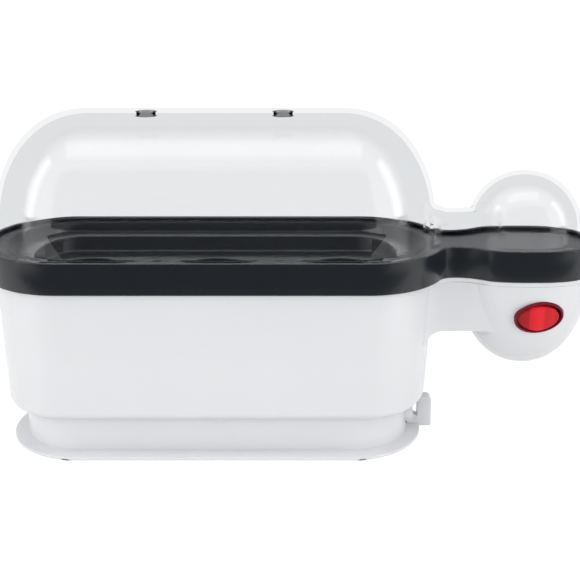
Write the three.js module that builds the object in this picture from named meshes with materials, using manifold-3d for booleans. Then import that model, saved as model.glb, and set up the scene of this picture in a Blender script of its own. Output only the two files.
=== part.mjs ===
// Steam egg boiler for three eggs: an oblong white base with a ball-shaped switch pod on its
// right end, a dark egg tray that caps base and pod, and a clear lid over the whole of it.
// Millimetres, +Z up, +X towards the pod, the front faces -Y, and the feet stand on z = 0.

import * as THREE from 'three';
import { mergeVertices } from 'three/addons/utils/BufferGeometryUtils.js';
import Module from 'manifold-3d';

const wasm = await Module();
wasm.setup();

// Clearances, the overrun of every cut, and how finely round shapes are stepped
const fit_gap = 0.3;
const cut_overrun = 2;
const end_steps = 12;
const pod_steps = 28;
const bowl_levels = 8;
const bridge_levels = 4;
const lid_levels = 8;
const curve_steps = 5;
const round_steps = 16;
const small_steps = 10;
const edge_steps = 4;
const pan_round_steps = 3;
const nut_sides = 6;

// Eggs, which set the tray, and through it the whole outline
const egg_pitch = 56;
const egg_hole_radius = 17.5;
const egg_end_room = 29;
const egg_side_room = 31.7;
const end_straight = 10;
const steam_hole_radius = 3.5;

// Heights from the table up
const foot_rise = 0.5;
const flange_thick = 1.3;
const groove_height = 16.5;
const body_height = 57;
const band_height = 13.7;
const lid_height = 57;

// White body under the band
const end_overhang = 4.8;
const side_overhang = 1.4;
const body_wall = 2.4;
const body_draft = THREE.MathUtils.degToRad(4);
const body_edge_round = 3;
const groove_depth_front = 9.4;
const groove_depth_end = 7.4;
const core_corner = 6;
const collar_setback = 2;
const collar_root = 1;
const collar_rise = 2.2;
const collar_wall = 2.2;

// Bridge and pod of the white body, and the cover over both
const neck_length = 5.4;
const pod_half_width = 29.5;
const pod_half_depth = 27.5;
const pod_squareness = 2.7;
const pod_setback = 0.6;
const pod_drop = 42.5;
const pod_belly = 2.2;
const bowl_tip_share = 0.998;
const bridge_half_width = 18;
const bridge_flare = 6;
const pod_flare_share = 0.7;
const bridge_height = 24.3;
const bridge_root_round = 6;
const tunnel_height = 12;
const tunnel_half_width = 10;
const pod_cover_thick = 2;
const cover_lip_rise = 3;
const cover_lip_wall = 1.6;
const cover_post_radius = 3.2;
const cover_post_end_inset = 16.5;
const cover_post_side_inset = 13.5;

// Base plate with its flange, and the feet
const flange_setback = 1.4;
const flange_lip = 1;
const spigot_rise = 2.4;
const spigot_wall = 1.8;
const screw_pad_rise = 1.5;
const foot_radius = 5;
const foot_inset = 0.5;
const foot_shift = 3.5;
const foot_seat = 0.6;

// Screws and the bosses they enter
const screw_radius = 1.5;
const screw_head_radius = 2.8;
const screw_head_thick = 1;
const screw_recess = 1.2;
const screw_length = 9;
const boss_radius = 4;
const boss_shift = 6;
const boss_height = 12;
const boss_wall_share = 0.8;

// Water pan, its seal, its studs and their nuts
const seal_thick = 1;
const seal_setback = 0.3;
const pan_flange_thick = 1.1;
const pan_wall = 1.2;
const pan_depth = 20;
const pan_side_gap = 2.2;
const pan_taper = 3;
const pan_floor_round = 5;
const stud_radius = 2;
const stud_tip = 0.8;
const stud_inset = 7;
const stud_back = 4;
const lug_gap = 3;
const lug_half_width = 6;
const lug_thick = 3;
const nut_radius = 4;
const nut_thick = 3.2;

// Egg tray inside its band
const band_wall = 2.2;
const tray_pan_gap = 1.2;
const tray_wall = 2.2;
const tray_end_slope = 7.5;
const tray_side_slope = 2;
const egg_end_edge = 7.5;
const egg_side_edge = 14.5;
const shelf_corner = 6;
const well_depth = 7.5;
const well_taper = 0.8;
const rebate_depth = 1.5;
const rebate_wall = 2.4;

// Clear lid
const lid_wall = 2;
const lid_flange_thick = 2.2;
const lid_flange_width = 1.4;
const lid_wall_height = 8;
const lid_lean = 0.8;
const lid_round = 36;
const lid_top_corner = 4.6;
const vent_radius = 4.2;
const vent_place = 30;
const lid_bridge_height = 14;
const lid_bridge_round = 6;
const dome_half_width = 25.2;
const dome_half_depth = 24.3;
const dome_wall_height = 5.4;
const dome_squareness = 2.2;
const dome_tip_share = 0.065;

// Rocker switch in the pod's front, in its own turned frame
const switch_turn = THREE.MathUtils.degToRad(13);
const switch_tilt = THREE.MathUtils.degToRad(12);
const switch_drop = 15.8;
const switch_shift = 3.9;
const switch_seat = 1;
const rocker_half_length = 8.6;
const rocker_half_height = 4.6;
const rocker_gap = 0.6;
const rocker_proud = 1.4;
const rocker_root = 5;
const rocker_tilt = THREE.MathUtils.degToRad(6);
const rocker_facet = THREE.MathUtils.degToRad(9);
const pivot_depth = 3.4;
const pivot_radius = 1.1;
const bezel_wall = 1;
const bezel_rim = 1.1;
const bezel_thick = 1.4;
const bezel_neck = 6;
const switch_body_depth = 11;
const switch_floor = 3.5;
const lamp_radius = 1.6;
const lamp_length = 4;
const blade_width = 4;
const blade_thick = 0.8;
const blade_seat = 2.5;
const blade_length = 6;
const blade_pitch = 5.6;

// Heater, its controls, and the blocks on the base plate
const element_radius = 3.2;
const element_half_length = 50;
const element_half_depth = 21;
const element_opening = THREE.MathUtils.degToRad(14);
const element_steps = 36;
const element_sides = 8;
const thermostat_radius = 8;
const thermostat_height = 7;
const thermostat_flange = 1.2;
const fuse_radius = 2;
const fuse_length = 14;
const fuse_offset = 24;
const fuse_clip_wall = 0.8;
const fuse_clip_length = 6;
const block_length = 26;
const block_depth = 14;
const block_height = 10;
const block_shift = 18;
const block_screw_radius = 2.2;
const block_screw_length = 3;
const cord_clamp_shift = 14;
const cord_clamp_length = 18;
const cord_clamp_width = 6;
const cord_clamp_thick = 2.4;
const cord_clamp_rise = 4;
const wire_radius = 1.1;
const wire_steps = 22;
const wire_sides = 6;
const wire_lane = 4;
const wire_slack = 7;
const wire_lead = 3;

// Cord outlet at the right end of the foot
const guide_length = 6.3;
const guide_width = 7;
const guide_height = 13.9;
const guide_round = 2;
const guide_overhang = 5.4;
const guide_lift = 0.3;
const ramp_high = 6.4;
const ramp_low = 1.4;
const bush_radius = 4.4;
const bush_bore = 3.2;
const bush_lip = 1.2;
const bush_lip_thick = 1.4;
const bush_reach = 2;
const bush_rise = 8.4;

// Levels that the sizes above give
const z_flange = foot_rise;
const z_groove = z_flange + flange_thick;
const z_body = z_groove + groove_height;
const z_band = z_body + body_height;
const z_band_top = z_band + band_height;
const z_lid_top = z_band_top + lid_height;
const z_collar = z_band + collar_rise;
const z_seal = z_collar + seal_thick;
const z_pan_flange = z_seal + pan_flange_thick;
const z_pan_under = z_pan_flange - pan_depth - pan_wall;
const z_shelf_under = z_pan_flange + tray_pan_gap;
const z_shelf = z_shelf_under + tray_wall;
const z_well = z_shelf - well_depth;
const z_rebate = z_band_top - rebate_depth;
const z_lid_flange = z_rebate + lid_flange_thick;
const z_pod_cover = z_band - pod_cover_thick;
const z_bridge = z_band - bridge_height;

// Outlines that the sizes above give
const band_half_length = egg_pitch + egg_hole_radius + egg_end_room;
const band_half_depth = egg_hole_radius + egg_side_room;
const band_straight = egg_pitch + end_straight;
const body_half_length = band_half_length - end_overhang;
const body_half_depth = band_half_depth - side_overhang;
const draft_run = body_height * Math.tan(body_draft);
const foot_half_length = body_half_length - draft_run;
const foot_half_depth = body_half_depth - draft_run;
const core_half_length = foot_half_length - groove_depth_end;
const core_half_depth = foot_half_depth - groove_depth_front;
const core_straight = band_straight - core_corner;
const flange_half_length = foot_half_length - flange_setback;
const flange_half_depth = foot_half_depth + flange_lip;
const collar_half_length = body_half_length - collar_setback;
const collar_half_depth = body_half_depth - collar_setback;
const pan_half_length = collar_half_length - collar_wall - pan_side_gap;
const pan_half_depth = collar_half_depth - collar_wall - pan_side_gap;
const shelf_half_length = egg_pitch + egg_hole_radius + egg_end_edge;
const shelf_half_depth = egg_hole_radius + egg_side_edge;
const shelf_straight = egg_pitch + shelf_corner;
const lid_inset = rebate_wall + fit_gap + lid_flange_width;
const lid_straight = band_half_length - lid_inset - lid_lean - lid_round - lid_top_corner;
const pod_x = band_half_length + neck_length + pod_half_width;

// Colours and gloss of each finish
const finishes = {
  white_plastic: { color: 0xeeeff1, roughness: 0.22, metalness: 0 },
  dark_plastic: { color: 0x2b2e31, roughness: 0.34, metalness: 0 },
  clear_plastic: { color: 0xf4f7f8, roughness: 0.05, metalness: 0, transparent: true, opacity: 0.3 },
  red_plastic: { color: 0xc0141c, roughness: 0.2, metalness: 0 },
  rubber: { color: 0x55585a, roughness: 0.8, metalness: 0 },
  black_plastic: { color: 0x1b1c1e, roughness: 0.5, metalness: 0 },
  silicone: { color: 0xb9b5ac, roughness: 0.6, metalness: 0 },
  pan_coating: { color: 0x8b8e90, roughness: 0.35, metalness: 0.9 },
  steel: { color: 0xb4b8bb, roughness: 0.3, metalness: 1 },
  brass: { color: 0xb89552, roughness: 0.35, metalness: 1 },
  ceramic: { color: 0xe6dfd0, roughness: 0.6, metalness: 0 },
  lamp_glass: { color: 0xffb27a, roughness: 0.1, metalness: 0 },
  red_wire: { color: 0xa8322c, roughness: 0.6, metalness: 0 },
  blue_wire: { color: 0x2f5f9e, roughness: 0.6, metalness: 0 },
  white_wire: { color: 0xd9d6cf, roughness: 0.6, metalness: 0 },
};

// A closed geometry made into a solid that can be cut and joined
function solid(geometry) {
  geometry.deleteAttribute('normal');
  geometry.deleteAttribute('uv');
  const merged = mergeVertices(geometry);
  return new wasm.Manifold(new wasm.Mesh({
    numProp: 3,
    vertProperties: new Float32Array(merged.attributes.position.array),
    triVerts: new Uint32Array(merged.index.array),
  }));
}

// A solid made back into a named mesh with its own material
function piece(name, finish, shape) {
  const result = shape.getMesh();
  const geometry = new THREE.BufferGeometry();
  geometry.setAttribute('position', new THREE.BufferAttribute(result.vertProperties, result.numProp));
  geometry.setIndex(new THREE.BufferAttribute(result.triVerts, 1));
  geometry.computeVertexNormals();
  const mesh = new THREE.Mesh(geometry, new THREE.MeshStandardMaterial(finishes[finish]));
  mesh.name = name;
  return mesh;
}

function union(shapes) {
  return shapes.reduce((sum, shape) => sum.add(shape));
}

// A skin through rings of equal point counts, closed by a flat face at each end
function loft(rings) {
  const count = rings[0].length;
  const index = [];
  for (let level = 0; level < rings.length - 1; level += 1) {
    for (let k = 0; k < count; k += 1) {
      const a = level * count + k;
      const b = level * count + ((k + 1) % count);
      index.push(a, b, b + count, a, b + count, a + count);
    }
  }
  const plan = rings[0].map((point) => new THREE.Vector2(point.x, point.y));
  const last = (rings.length - 1) * count;
  for (const [a, b, c] of THREE.ShapeUtils.triangulateShape(plan, [])) {
    index.push(c, b, a, last + a, last + b, last + c);
  }
  const geometry = new THREE.BufferGeometry().setFromPoints(rings.flat());
  geometry.setIndex(index);
  return solid(geometry);
}

// Oblong ring at one height: straight front and back, half an ellipse at each end
function oblongRing(half_length, half_depth, straight, z) {
  const ring = [];
  for (const side of [1, -1]) {
    for (let step = 0; step <= end_steps; step += 1) {
      const angle = Math.PI * (step / end_steps - 1 / 2);
      const x = side * (straight + (half_length - straight) * Math.cos(angle));
      ring.push(new THREE.Vector3(x, side * half_depth * Math.sin(angle), z));
    }
  }
  return ring;
}

// Depth of that oblong's edge at a place along its end
function oblongEdge(half_length, half_depth, straight, x) {
  return half_depth * Math.sqrt(1 - ((x - straight) / (half_length - straight)) ** 2);
}

function oblong(half_length, half_depth, straight, low, high) {
  const ring = (z) => oblongRing(half_length, half_depth, straight, z);
  return loft([ring(low), ring(high)]);
}

// Rounded, slightly square ring round the pod's axis
function podRing(half_width, half_depth, squareness, z) {
  const ring = [];
  for (let step = 0; step < pod_steps; step += 1) {
    const angle = (2 * Math.PI * step) / pod_steps;
    const across = Math.cos(angle);
    const along = Math.sin(angle);
    const x = pod_x + half_width * Math.sign(across) * Math.abs(across) ** (2 / squareness);
    const y = half_depth * Math.sign(along) * Math.abs(along) ** (2 / squareness);
    ring.push(new THREE.Vector3(x, y, z));
  }
  return ring;
}

function podPrism(inset, low, high) {
  const ring = (z) => podRing(pod_half_width - inset, pod_half_depth - inset, pod_squareness, z);
  return loft([ring(low), ring(high)]);
}

// Plan of the bridge, flared by a curve into an oblong's end on one side and into the pod on the other
function bridgePlan(inset, [end_length, end_depth, straight], [width, depth, squareness]) {
  const half = bridge_half_width - inset;
  const wide = half + bridge_flare;
  const bodyEdge = (y) => straight + (end_length - straight) * Math.sqrt(1 - (y / end_depth) ** 2);
  const podEdge = (y) => pod_x - width * (1 - (y / depth) ** squareness) ** (1 / squareness);
  const tip = half + pod_flare_share * (depth - half);
  const middle = (bodyEdge(half) + podEdge(half)) / 2;
  const shape = new THREE.Shape();
  shape.moveTo(straight, -wide);
  shape.lineTo(bodyEdge(wide), -wide);
  shape.quadraticCurveTo(bodyEdge(half), -half, middle, -half);
  shape.quadraticCurveTo(podEdge(half), -half, podEdge(tip), -tip);
  shape.lineTo(pod_x, -tip);
  shape.lineTo(pod_x, tip);
  shape.lineTo(podEdge(tip), tip);
  shape.quadraticCurveTo(podEdge(half), half, middle, half);
  shape.quadraticCurveTo(bodyEdge(half), half, bodyEdge(wide), wide);
  shape.lineTo(straight, wide);
  shape.closePath();
  return shape;
}

function bandPlan(inset) {
  const end = [band_half_length - inset, band_half_depth - inset, band_straight];
  return bridgePlan(inset, end, [pod_half_width - inset, pod_half_depth - inset, pod_squareness]);
}

// A solid that stands on a plan drawn in X and Y
function prism(shape, low, high) {
  const options = { depth: high - low, bevelEnabled: false, curveSegments: curve_steps };
  const geometry = new THREE.ExtrudeGeometry(shape, options);
  geometry.translate(0, 0, low);
  return solid(geometry);
}

// A solid that runs from front to back, its side view drawn in X and Z
function sidePrism(shape, front, back, curveSegments = curve_steps) {
  const depth = back - front;
  const geometry = new THREE.ExtrudeGeometry(shape, { depth, bevelEnabled: false, curveSegments });
  geometry.rotateX(Math.PI / 2);
  geometry.translate(0, back, 0);
  return solid(geometry);
}

function box(x0, x1, y0, y1, z0, z1) {
  const geometry = new THREE.BoxGeometry(x1 - x0, y1 - y0, z1 - z0);
  geometry.translate((x0 + x1) / 2, (y0 + y1) / 2, (z0 + z1) / 2);
  return solid(geometry);
}

// An upright round bar
function post(radius, x, y, low, high, steps = small_steps) {
  const geometry = new THREE.CylinderGeometry(radius, radius, high - low, steps);
  geometry.rotateX(Math.PI / 2);
  geometry.translate(x, y, (low + high) / 2);
  return solid(geometry);
}

// A round bar that lies along X
function bar(radius, x0, x1, y, z) {
  const geometry = new THREE.CylinderGeometry(radius, radius, x1 - x0, small_steps);
  geometry.rotateZ(Math.PI / 2);
  geometry.translate((x0 + x1) / 2, y, z);
  return solid(geometry);
}

// A tube along a smooth curve through its points
function tube(points, radius, sides, steps) {
  const section = new THREE.Shape();
  for (let side = 0; side < sides; side += 1) {
    const angle = (2 * Math.PI * side) / sides;
    const corner = [radius * Math.cos(angle), radius * Math.sin(angle)];
    if (side === 0) {
      section.moveTo(...corner);
    } else {
      section.lineTo(...corner);
    }
  }
  section.closePath();
  const extrudePath = new THREE.CatmullRomCurve3(points, false, 'centripetal');
  return solid(new THREE.ExtrudeGeometry(section, { steps, bevelEnabled: false, extrudePath }));
}

// The four corners of a pattern that repeats to both sides
function corners(x, y) {
  return [[-x, -y], [x, -y], [x, y], [-x, y]];
}

// White housing: drafted body, recessed core for the cord, collar, bridge and pod
function bodySkin(inset, low, high) {
  const ring = (z) => {
    const lean = (z_band - z) * Math.tan(body_draft) + inset;
    return oblongRing(body_half_length - lean, body_half_depth - lean, band_straight, z);
  };
  return loft([ring(low), ring(high)]);
}

function bodyOutside() {
  const rings = [];
  for (let step = 0; step <= edge_steps; step += 1) {
    const angle = (Math.PI * step) / (2 * edge_steps);
    const z = z_body + body_edge_round * (1 - Math.cos(angle));
    const lean = (z_band - z) * Math.tan(body_draft) + body_edge_round * (1 - Math.sin(angle));
    rings.push(oblongRing(body_half_length - lean, body_half_depth - lean, band_straight, z));
  }
  rings.push(oblongRing(body_half_length, body_half_depth, band_straight, z_band));
  return loft(rings);
}

function coreSolid(inset, low, high) {
  return oblong(core_half_length - inset, core_half_depth - inset, core_straight, low, high);
}

function collarSolid(inset, low, high) {
  return oblong(collar_half_length - inset, collar_half_depth - inset, band_straight, low, high);
}

// Ball-shaped pod: a bellied curve swept round a plan that is squarer towards its top
function podLevel(fall, inset) {
  const scale = (1 - fall ** pod_belly) ** (1 / pod_belly);
  const half_width = (pod_half_width - pod_setback - inset) * scale;
  const half_depth = (pod_half_depth - pod_setback - inset) * scale;
  return [half_width, half_depth, 2 + (pod_squareness - 2) * (1 - fall) ** 2];
}

function podBowl(inset) {
  const rings = [];
  for (let step = 0; step <= bowl_levels; step += 1) {
    const fall = Math.cos((Math.PI * step) / (2 * bowl_levels)) * bowl_tip_share;
    rings.push(podRing(...podLevel(fall, inset), z_band - fall * (pod_drop - inset)));
  }
  return loft(rings);
}

// Bridge whose plan follows the drafted body and the bellied pod at every level
function bodyEnd(inset, z) {
  const lean = (z_band - z) * Math.tan(body_draft) + inset;
  return [body_half_length - lean, body_half_depth - lean, band_straight];
}

function bridgeLevel(inset, z) {
  const pod = podLevel((z_band - z) / (pod_drop - inset), inset);
  return bridgePlan(pod_setback + inset, bodyEnd(inset, z), pod);
}

function bodyBridge(inset) {
  const low = z_bridge + inset;
  const rings = [];
  for (let level = 0; level <= bridge_levels; level += 1) {
    const z = low + ((z_band - low) * level) / bridge_levels;
    const points = bridgeLevel(inset, z).getPoints(curve_steps).slice(0, -1);
    rings.push(points.map((point) => new THREE.Vector3(point.x, point.y, z)));
  }
  return loft(rings);
}

// Concave fillet round a wall, from where it leaves the wall to the bridge's face and on inside it
function rootFillet(ringAt, round, z_free, z_face, z_deep) {
  const rings = [];
  for (let step = 0; step <= edge_steps; step += 1) {
    const angle = (Math.PI * step) / (2 * edge_steps);
    rings.push(ringAt(z_free + (z_face - z_free) * Math.sin(angle), round * (1 - Math.cos(angle))));
  }
  rings.push(ringAt(z_deep, round));
  return loft(z_free < z_deep ? rings : rings.reverse());
}

function bodyFillet() {
  const ringAt = (z, reach) => oblongRing(...bodyEnd(-reach, z), z);
  const low = z_bridge - bridge_root_round;
  const fillet = rootFillet(ringAt, bridge_root_round, low, z_bridge, z_bridge + body_wall);
  return fillet.intersect(prism(bridgeLevel(0, z_bridge), z_body, z_band));
}

const boss_x = core_straight + boss_shift;
const boss_y = oblongEdge(core_half_length - collar_wall, core_half_depth - collar_wall,
  core_straight, boss_x) - boss_wall_share * boss_radius;
const z_boss = z_groove + screw_pad_rise;

function housingBosses() {
  return union(corners(boss_x, boss_y).map(([x, y]) => {
    const bore = post(screw_radius + fit_gap, x, y, z_groove, z_boss + boss_height - body_wall);
    return post(boss_radius, x, y, z_boss, z_boss + boss_height).subtract(bore);
  })).intersect(coreSolid(collar_wall / 2, z_groove, z_band));
}

const stud_x = band_straight - stud_back;
const stud_y = pan_half_depth - pan_taper - stud_inset;
const z_lug = z_pan_under - lug_gap;

function housingLugs() {
  return union(corners(stud_x, stud_y).map(([x, y]) => {
    const tip = y - Math.sign(y) * lug_half_width;
    const root = Math.sign(y) * body_half_depth;
    const shelf = box(x - lug_half_width, x + lug_half_width, Math.min(tip, root), Math.max(tip, root),
      z_lug - lug_thick, z_lug);
    return shelf.subtract(post(stud_radius + fit_gap, x, y, z_lug - lug_thick - cut_overrun, z_band));
  })).intersect(bodySkin(body_wall / 2, z_body, z_band));
}

const cover_post_x = pod_half_width - cover_post_end_inset;
const cover_post_y = pod_half_depth - cover_post_side_inset;
const cover_posts = [-cover_post_x, cover_post_x].map((x) => [pod_x + x, cover_post_y]);

function housingPosts() {
  const bored = (radius, low) => union(cover_posts.map(([x, y]) => post(radius, x, y, low, z_pod_cover)));
  const posts = bored(cover_post_radius, z_band - pod_drop).intersect(podBowl(body_wall / 2));
  return posts.subtract(bored(screw_radius + fit_gap, z_pod_cover - screw_length));
}

function housing() {
  const arm = union([bodyBridge(0), bodyFillet(), podBowl(0)]);
  const arm_hollow = bodyBridge(body_wall).add(podBowl(body_wall)).subtract(bodySkin(0, z_groove, z_band));
  const above_arm = box(band_straight, pod_x + 2 * pod_half_width, -band_half_depth, band_half_depth,
    z_pod_cover, z_band_top);
  const over_arm = above_arm.subtract(bodySkin(0, z_groove, z_band));
  const ledge = collarSolid(-collar_root, z_band - body_wall, z_band);
  const collar = collarSolid(0, z_band - body_wall, z_collar).add(ledge)
    .subtract(collarSolid(collar_wall, z_body, z_band_top));
  const shelf = bodySkin(body_wall, z_body + body_wall, z_band + cut_overrun);
  const core = coreSolid(0, z_groove, z_body + body_wall);
  const tunnel = box(band_straight, pod_x, -tunnel_half_width, tunnel_half_width,
    z_bridge + body_wall, z_bridge + body_wall + tunnel_height);
  return bodyOutside().add(core).add(arm)
    .subtract(shelf)
    .subtract(coreSolid(collar_wall, z_flange, z_band))
    .subtract(arm_hollow)
    .subtract(over_arm)
    .subtract(tunnel)
    .add(collar)
    .add(housingBosses())
    .add(housingLugs())
    .add(housingPosts())
    .subtract(switchHole())
    .subtract(bushHole());
}

// Switch frame: its origin on the seat cut into the pod's front, -Y outwards, +Y into the pod
const switch_fall = switch_drop / pod_drop;
const switch_reach = (1 - switch_fall ** pod_belly) ** (1 / pod_belly);
const switch_front = (pod_half_depth - pod_setback) * switch_reach;
const switch_frame = new THREE.Group();
switch_frame.position.set(pod_x + switch_shift, switch_seat - switch_front, z_band - switch_drop);
switch_frame.rotation.set(switch_tilt, 0, switch_turn, 'ZXY');
switch_frame.updateMatrix();

function atSwitch(shape) {
  return shape.transform(switch_frame.matrix.toArray());
}

// An oval plug between two depths of the switch frame
function ovalPlug(half_length, half_height, front, back) {
  const shape = new THREE.Shape();
  shape.absellipse(0, 0, half_length, half_height, 0, 2 * Math.PI);
  return sidePrism(shape, front, back, round_steps);
}

const window_length = rocker_half_length + rocker_gap;
const window_height = rocker_half_height + rocker_gap;
const neck_half_length = window_length + bezel_wall;
const neck_half_height = window_height + bezel_wall;
const bezel_half_length = neck_half_length + bezel_rim;
const bezel_half_height = neck_half_height + bezel_rim;
const y_bezel_front = -fit_gap - bezel_thick;
const y_switch_body = bezel_neck + fit_gap;
const y_switch_back = y_switch_body + switch_body_depth;

function switchHole() {
  const pocket = ovalPlug(bezel_half_length + fit_gap, bezel_half_height + fit_gap, -pod_half_depth, 0);
  const hole = ovalPlug(neck_half_length + fit_gap, neck_half_height + fit_gap, -cut_overrun, bezel_neck);
  return atSwitch(pocket.add(hole));
}

function switchBezel() {
  const rim = ovalPlug(bezel_half_length, bezel_half_height, y_bezel_front, -fit_gap);
  const neck = ovalPlug(neck_half_length, neck_half_height, y_bezel_front, bezel_neck);
  const opening = ovalPlug(window_length, window_height,
    y_bezel_front - cut_overrun, bezel_neck + cut_overrun);
  const journal = post(pivot_radius + fit_gap, 0, pivot_depth, -bezel_half_height, bezel_half_height);
  return rim.add(neck).subtract(opening).subtract(journal);
}

// Rocker with a ridge across its middle, turned to its off position about its two short pins
function rocker() {
  const ridge = y_bezel_front - rocker_proud;
  const end = ridge + rocker_half_length * Math.tan(rocker_facet);
  const wide = 2 * rocker_half_length;
  const face = new THREE.Shape();
  face.moveTo(-wide, rocker_root);
  face.lineTo(-wide, end + rocker_half_length * Math.tan(rocker_facet));
  face.lineTo(0, ridge);
  face.lineTo(wide, end + rocker_half_length * Math.tan(rocker_facet));
  face.lineTo(wide, rocker_root);
  face.closePath();
  const plug = ovalPlug(rocker_half_length, rocker_half_height, ridge, rocker_root);
  const pin = post(pivot_radius, 0, pivot_depth, -neck_half_height, neck_half_height);
  const shape = plug.intersect(prism(face, -rocker_half_height, rocker_half_height)).add(pin);
  const turn = new THREE.Matrix4().makeTranslation(0, pivot_depth, 0)
    .multiply(new THREE.Matrix4().makeRotationZ(-rocker_tilt))
    .multiply(new THREE.Matrix4().makeTranslation(0, -pivot_depth, 0));
  return shape.transform(turn.toArray());
}

function bladeBox(x, grow) {
  return box(x - blade_thick / 2 - grow, x + blade_thick / 2 + grow, y_switch_back - blade_seat - grow,
    y_switch_back + blade_length, -blade_width / 2 - grow, blade_width / 2 + grow);
}

const blade_places = [-blade_pitch, 0, blade_pitch];

function switchBody() {
  const outside = box(-neck_half_length, neck_half_length, y_switch_body, y_switch_back,
    -neck_half_height, neck_half_height);
  const inside = box(-window_length, window_length, y_switch_body - cut_overrun, y_switch_back - switch_floor,
    -window_height, window_height);
  return blade_places.reduce((shape, x) => shape.subtract(bladeBox(x, fit_gap)), outside.subtract(inside));
}

function switchLamp() {
  const back = y_switch_back - switch_floor - fit_gap;
  const bulb = new THREE.CylinderGeometry(lamp_radius, lamp_radius, lamp_length, small_steps);
  bulb.translate(0, back - lamp_length / 2, 0);
  return solid(bulb);
}

function switchParts() {
  switch_frame.add(
    piece('switch_bezel', 'red_plastic', switchBezel()),
    piece('rocker', 'red_plastic', rocker()),
    piece('switch_body', 'black_plastic', switchBody()),
    piece('switch_lamp', 'lamp_glass', switchLamp()),
    ...blade_places.map((x, k) => piece(`switch_blade_${k + 1}`, 'brass', bladeBox(x, 0))),
  );
  return switch_frame;
}

// Cover over the bridge and pod, with a lip that stands inside the tray's band
function armOutline(inset, low, high) {
  return prism(bandPlan(inset), low, high).add(podPrism(inset, low, high));
}

function podCover() {
  const lip_inset = band_wall + fit_gap;
  const beside_band = oblong(band_half_length + fit_gap, band_half_depth + fit_gap, band_straight,
    z_band, z_band_top);
  const lip = armOutline(lip_inset, z_pod_cover, z_band + cover_lip_rise)
    .subtract(armOutline(lip_inset + cover_lip_wall, z_flange, z_band_top))
    .subtract(beside_band);
  const plate = armOutline(pod_setback, z_pod_cover, z_band);
  const holes = union(cover_posts.map(([x, y]) => (
    post(screw_radius + fit_gap, x, y, z_flange, z_band_top))));
  return plate.add(lip).subtract(holes).subtract(bodySkin(-fit_gap, z_body, z_band_top));
}

// Base plate: flange, spigot inside the core, pads for the screws and posts for the cord clamp
const foot_x = core_straight + foot_shift;
const foot_y = flange_half_depth - foot_radius - foot_inset;
const block_x = egg_pitch - block_shift;
const clamp_x = block_x + block_length / 2 + cord_clamp_shift;
const clamp_y = cord_clamp_length / 2 - cord_clamp_width / 2;
const z_clamp = z_groove + cord_clamp_rise;

// Posts at the four screw bosses, and at the two ends of the cord clamp
function atBosses(radius, low, high) {
  return union(corners(boss_x, boss_y).map(([x, y]) => post(radius, x, y, low, high)));
}

function atClamp(radius, low, high) {
  return union([-clamp_y, clamp_y].map((y) => post(radius, clamp_x, y, low, high)));
}

function basePlate() {
  const flange = oblong(flange_half_length, flange_half_depth, core_straight, z_flange, z_groove);
  const spigot_inset = collar_wall + fit_gap;
  const spigot = coreSolid(spigot_inset, z_flange, z_groove + spigot_rise)
    .subtract(coreSolid(spigot_inset + spigot_wall, z_groove, z_band))
    .subtract(atBosses(boss_radius + fit_gap, z_groove, z_band));
  const pads = atBosses(boss_radius, z_flange, z_boss).intersect(coreSolid(spigot_inset, z_flange, z_band));
  const foot_seats = corners(foot_x, foot_y).map(([x, y]) => (
    post(foot_radius + fit_gap, x, y, -cut_overrun, z_flange + foot_seat, round_steps)));
  return union([flange, spigot, pads, atClamp(cord_clamp_width / 2, z_flange, z_clamp)])
    .subtract(atBosses(screw_radius + fit_gap, -cut_overrun, z_band))
    .subtract(atBosses(screw_head_radius + fit_gap, -cut_overrun, z_flange + screw_recess))
    .subtract(union(foot_seats))
    .subtract(atClamp(screw_radius + fit_gap, z_groove, z_band))
    .subtract(guideSolid(fit_gap));
}

function feet() {
  return corners(foot_x, foot_y).map(([x, y], k) => (
    piece(`foot_${k + 1}`, 'rubber', post(foot_radius, x, y, 0, z_flange + foot_seat, round_steps))));
}

// A screw whose head bears on a face from below or above, with its shank the other way
function screw(x, y, face, length, upwards) {
  const way = upwards ? 1 : -1;
  const ends = [face, face + way * length].sort((a, b) => a - b);
  const head = [face, face - way * screw_head_thick].sort((a, b) => a - b);
  return post(screw_radius, x, y, ...ends).add(post(screw_head_radius, x, y, ...head));
}

function baseScrews() {
  return corners(boss_x, boss_y).map(([x, y], k) => (
    piece(`base_screw_${k + 1}`, 'steel', screw(x, y, z_flange + screw_recess, screw_length, true))));
}

function coverScrews() {
  const length = screw_length - pod_cover_thick;
  return cover_posts.map(([x, y], k) => (
    piece(`cover_screw_${k + 1}`, 'steel', screw(x, y, z_band, length, false))));
}

// Upright guide for the cord at the right end of the flange, with a ramp back to the core
function guideSolid(gap) {
  const outer = flange_half_length + guide_overhang + gap;
  const inner = outer - guide_length - 2 * gap;
  const low = z_flange + guide_lift - gap;
  const high = z_flange + guide_lift + guide_height + gap;
  const upright = new THREE.Shape();
  upright.moveTo(inner, low);
  upright.lineTo(outer, low);
  upright.lineTo(outer, high - guide_round);
  upright.quadraticCurveTo(outer, high, outer - guide_round, high);
  upright.lineTo(inner, high);
  upright.closePath();
  const ramp = new THREE.Shape();
  ramp.moveTo(core_half_length + fit_gap, z_groove);
  ramp.lineTo(outer - guide_length / 2, z_groove);
  ramp.lineTo(outer - guide_length / 2, z_groove + ramp_low);
  ramp.lineTo(core_half_length + fit_gap, z_groove + ramp_high);
  ramp.closePath();
  const standing = sidePrism(upright, -gap, guide_width + gap);
  return gap > 0 ? standing : standing.add(sidePrism(ramp, 0, guide_width));
}

// Bush in the core's end wall beside the guide, where the mains cord leaves
const bush_y = -guide_width / 2 - bush_radius;
const z_bush = z_groove + bush_rise;

function bushHole() {
  return bar(bush_radius + fit_gap, core_straight, foot_half_length, bush_y, z_bush);
}

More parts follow.
